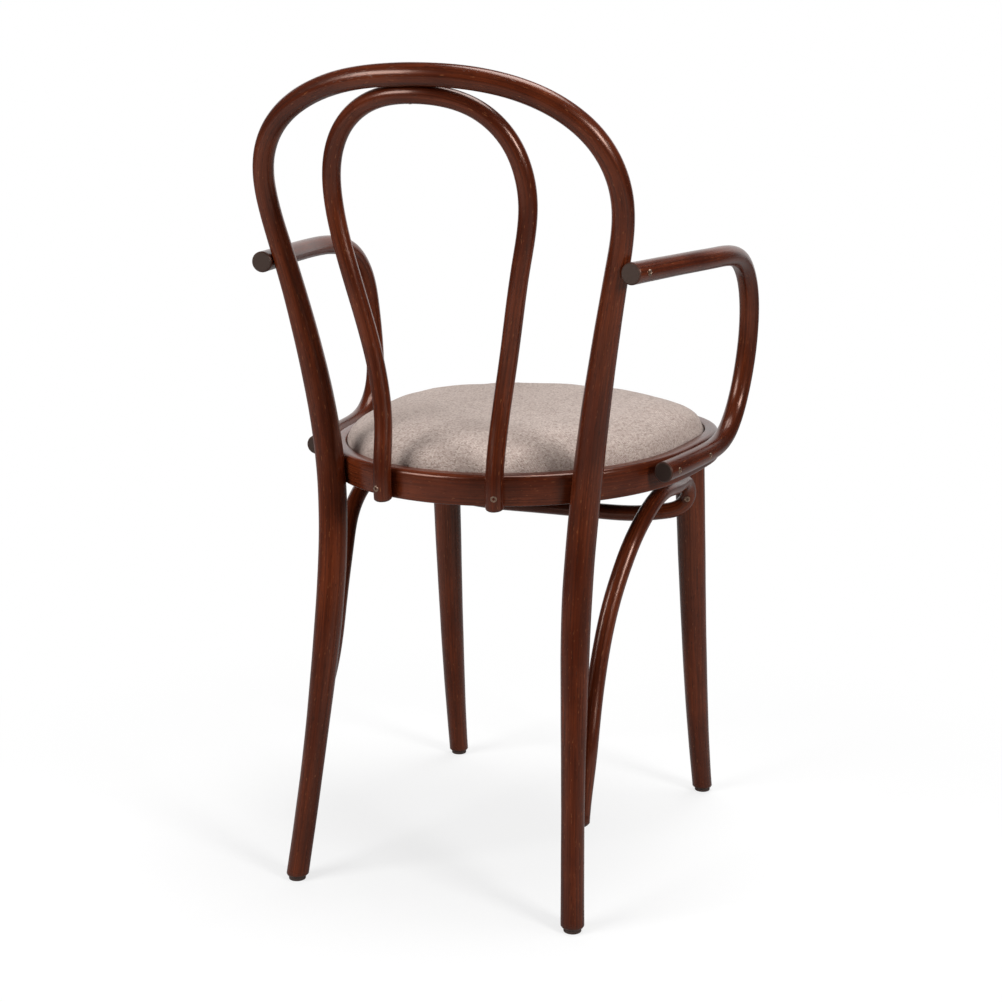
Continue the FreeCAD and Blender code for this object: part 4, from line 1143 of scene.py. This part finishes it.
@dataclass
class ScrewSet:
    """Round-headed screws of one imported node, each with a dished socket."""

    node: bpy.types.Object
    wood: list[BVHTree]  # faces of the rods that screws go through
    stand: float = 0.0003  # how far the head stands out of the wood
    head: float = 0.0033  # radius of the head
    socket: float = 0.44  # radius of the socket, as a share of the head's
    sides: int = 24  # faces round a screw
    weld: float = 1e-6  # vertices closer than this are one
    end_facing: float = 0.95  # least cosine between an end face's normal and the screw
    rim: float = 0.9  # vertices from this share of the widest radius on are the head's
    above: float = 0.006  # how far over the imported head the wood's skin is felt for
    around: float = 1.4  # how far from its middle, in radii of the head
    sharp: float = 40.0  # edges over this many degrees stay sharp

    def screws(self) -> list[tuple[np.ndarray, np.ndarray, float]]:
        """Finds the separate screws in the node.

        Returns:
            For each one the middle of its head's face, the way of its shank and its length.
        """
        skin = node_points(self.node)
        cells = np.round(skin / self.weld).astype(np.int64)
        welded = np.unique(cells, axis=0, return_inverse=True)[1].ravel()
        group = np.arange(welded.max() + 1)
        faces = self.node.data.polygons
        corners = [welded[np.array(face.vertices)] for face in faces]
        settled = False
        while not settled:
            before = group.copy()
            for corner in corners:
                group[corner] = group[corner].min()
            settled = bool((group == before).all())
        part_of = group[welded]
        found = []
        for part in np.unique(part_of):
            own = [face for face in faces if part_of[face.vertices[0]] == part]
            found.append(self.axis_of(skin[part_of == part], own))
        return found

    def axis_of(
        self, cloud: np.ndarray, faces: list[bpy.types.MeshPolygon]
    ) -> tuple[np.ndarray, np.ndarray, float]:
        """Head, way and length of one screw, from its flat end faces.

        Args:
            cloud: The screw's vertices.
            faces: Its faces.

        Returns:
            The middle of the head's face, the way of the shank, and the length.
        """
        rough = np.linalg.svd(cloud - cloud.mean(axis=0), full_matrices=False)[2][0]
        way = np.zeros(3)
        for face in faces:
            tilt = float(np.dot(rough, face.normal))
            if abs(tilt) > self.end_facing:
                way += np.array(face.normal) * face.area * np.sign(tilt)
        way /= np.linalg.norm(way)
        side, other = crosswise(way)
        spots = np.column_stack([cloud @ side, cloud @ other, cloud @ way])
        middle = (spots.min(axis=0) + spots.max(axis=0)) / 2
        off = np.linalg.norm(spots[:, :2] - middle[:2], axis=1)
        widest = spots[off > self.rim * off.max(), 2]
        half = float(spots[:, 2].max() - middle[2])
        sense = 1.0 if widest.mean() < middle[2] else -1.0
        centre = side * middle[0] + other * middle[1] + way * (middle[2] - sense * half)
        return centre, way * sense, 2 * half

    def sunk(self, head: np.ndarray, way: np.ndarray) -> float:
        """How deep a packed head lies under the wood's skin.

        Args:
            head: Middle of the head's face.
            way: The way of the shank.

        Returns:
            The depth, from rays cast close round the head.
        """
        depths = [0.0]
        for out in spokes(*crosswise(way), self.sides):
            start = Vector(head + out * self.around * self.head - way * self.above)
            for tree in self.wood:
                distance = tree.ray_cast(start, Vector(way), 2 * self.above)[3]
                if distance is not None:
                    depths.append(self.above - distance)
        return max(depths)

    def profile(self, length: float) -> list[tuple[float, float]]:
        """Depth under the head's face and radius at each ring of a screw.

        Args:
            length: The screw's length.

        Returns:
            The rings from the socket's bottom to the point.
        """
        head = self.head
        socket = self.socket * head
        return [
            (0.0016, 0.1 * socket), (0.0014, 0.8 * socket),  # bottom of the socket
            (0.0003, socket), (0.00005, 1.15 * socket),  # its wall and mouth
            (0.0, 0.8 * head), (0.00025, 0.95 * head), (0.0007, head),  # rounded rim
            (0.0026, head), (0.003, 0.0021),  # underside of the head
            (length * 0.85, 0.0019), (length, 0.0004),  # shank and point
        ]

    def build(self, name: str, metal: bpy.types.Material) -> None:
        """Turns and dresses the screws.

        Args:
            name: The piece's name.
            metal: The browned steel.
        """
        points: list[np.ndarray] = []
        faces: Faces = []
        for head, way, length in self.screws():
            sunk = self.sunk(head, way) + self.stand
            rings = self.profile(length + sunk)
            faces += turned_over(tube(len(rings), self.sides, first=len(points)))
            round_about = spokes(*crosswise(way), self.sides)
            for depth, radius in rings:
                points += [head + way * (depth - sunk) + out * radius for out in round_about]
        piece = Piece(name, points, faces)
        piece.smooth(self.sharp)
        piece.settle(Slot.STEEL, metal, self.node.name)


@dataclass
class Hardware:
    """Screws, bolts, washers, glides, nails and the seat board."""

    nodes: dict[str, bpy.types.Object]
    # Rods that screws go through, screws that are turned anew, and steel that keeps its packed form.
    holding: tuple[str, ...] = ("hairpin_loop", "right_arm", "left_arm", "bridge_brace")
    turned: tuple[str, ...] = (
        "hairpin_screws", "arm_hoop_screws", "arm_seat_screws", "brace_front_screws", "brace_rear_screws",
        "crest_screw",
    )
    plain_steel: tuple[str, ...] = ("seat_board_screws", "rear_leg_bolts", "rear_leg_washers", "glide_nails")

    def build(self) -> None:
        """Turns the wood screws, and dresses the parts that keep their packed form."""
        metal = DulledScrew().material("browned_steel")
        wood = [node_faces(self.nodes[rod]) for rod in self.holding]
        for node in self.turned:
            ScrewSet(self.nodes[node], wood).build("turned_" + node, metal)
        for node in self.plain_steel:
            self.dress(node, metal)
        self.dress("foot_glides", MouldedGlide().material("moulded_glide"))
        self.dress("seat_board", BirchPly().material("raw_plywood"))

    def dress(self, node: str, material: bpy.types.Material) -> None:
        """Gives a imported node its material.

        Args:
            node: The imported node.
            material: The material.
        """
        data = self.nodes[node].data
        data.materials.clear()
        data.materials.append(material)
        LOG.info("%s: dressed", node)


@dataclass(frozen=True)
class Lamp:
    """A soft rectangular lamp that the camera doesn't see."""

    name: str
    place: Triple
    size: tuple[float, float]  # width and height
    power: float  # watts


@dataclass
class Studio:
    """White floor, soft lamps and the camera at the photograph's angle."""

    eye: Triple = (-0.7301, 1.6802, 0.7702)
    target: Triple = (0.0120, -0.0190, 0.3815)
    lens: float = 62.24  # focal length in millimetres
    sensor: float = 36.0  # sensor width in millimetres
    nearest: float = 0.01  # what the camera sees starts here
    furthest: float = 100.0  # and ends here
    floor_half: float = 9.0  # half the floor's width
    sky_light: float = 0.07  # strength of the light from all round
    lit: Triple = (0.0, 0.0, 0.45)  # where the lamps point
    lamps: tuple[Lamp, ...] = (
        Lamp("left_lamp", (1.35, 1.85, 1.55), (1.3, 0.95), 49.0),
        Lamp("right_lamp", (-2.05, 0.85, 1.45), (0.6, 0.75), 36.0),
        Lamp("sweep_glow", (0.9, -2.5, 1.15), (4.6, 2.1), 28.0),
        Lamp("top_lamp", (-0.3, -0.35, 2.5), (1.1, 1.1), 33.0),
    )

    @staticmethod
    def stand(name: str, data: bpy.types.ID, place: Triple, target: Triple) -> bpy.types.Object:
        """Stands a camera or a lamp up, pointing at a target.

        Args:
            name: Its name.
            data: Its data.
            place: Where it stands.
            target: Where it points.

        Returns:
            The object.
        """
        thing = bpy.data.objects.new(name, data)
        bpy.context.scene.collection.objects.link(thing)
        thing.location = place
        thing.rotation_euler = (Vector(target) - Vector(place)).to_track_quat("-Z", "Y").to_euler()
        return thing

    def camera(self) -> None:
        """Stands the camera."""
        data = bpy.data.cameras.new("camera")
        data.lens = self.lens
        data.sensor_width = self.sensor
        data.clip_start = self.nearest
        data.clip_end = self.furthest
        bpy.context.scene.camera = self.stand("camera", data, self.eye, self.target)

    def hang(self, lamp: Lamp) -> None:
        """Hangs a lamp.

        Args:
            lamp: The lamp.
        """
        data = bpy.data.lights.new(lamp.name, "AREA")
        data.shape = "RECTANGLE"
        data.size, data.size_y = lamp.size
        data.energy = lamp.power
        self.stand(lamp.name, data, lamp.place, self.lit).visible_camera = False

    def sky(self) -> None:
        """Lights the scene softly from all round and shows white behind the chair."""
        world = bpy.data.worlds.new("sky")
        bpy.context.scene.world = world
        tree = NodeTree(world)
        soft = tree.add("Background", {"Color": WHITE, "Strength": self.sky_light})
        white = tree.add("Background", {"Color": WHITE})
        tree.show("World Output", tree.add("LightPath").outputs["Is Camera Ray"], soft, white)

    def floor(self) -> None:
        """Lays the white floor."""
        half = self.floor_half
        corners = [(-half, -half, 0), (half, -half, 0), (half, half, 0), (-half, half, 0)]
        floor = Piece("studio_floor", corners, [(0, 1, 2, 3)]).thing
        floor.data.materials.append(WhiteFloor().material("white_floor"))

    def build(self) -> None:
        """Sets up the whole studio."""
        bpy.context.scene.view_settings.view_transform = "Standard"
        self.camera()
        self.sky()
        self.floor()
        for lamp in self.lamps:
            self.hang(lamp)


def main() -> None:
    """Builds the chair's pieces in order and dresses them."""
    logging.basicConfig(level=logging.INFO, format="%(name)s: %(message)s")
    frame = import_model()
    nodes = frame["nodes"]
    Studio().build()
    wood = StainedBeech().material("stained_beech")
    WoodenFrame(nodes).build(wood)
    plane = SeatPlane.measure(nodes["seat_ring"], nodes["seat_board"])
    SeatRing(plane).build(wood)
    SeatPad(plane).build(MelangeCloth().material("oatmeal_melange"))
    DustSheet(plane).build(SpunCloth().material("black_spun_cloth"))
    Hardware(nodes).build()


if __name__ == "__main__":
    main()
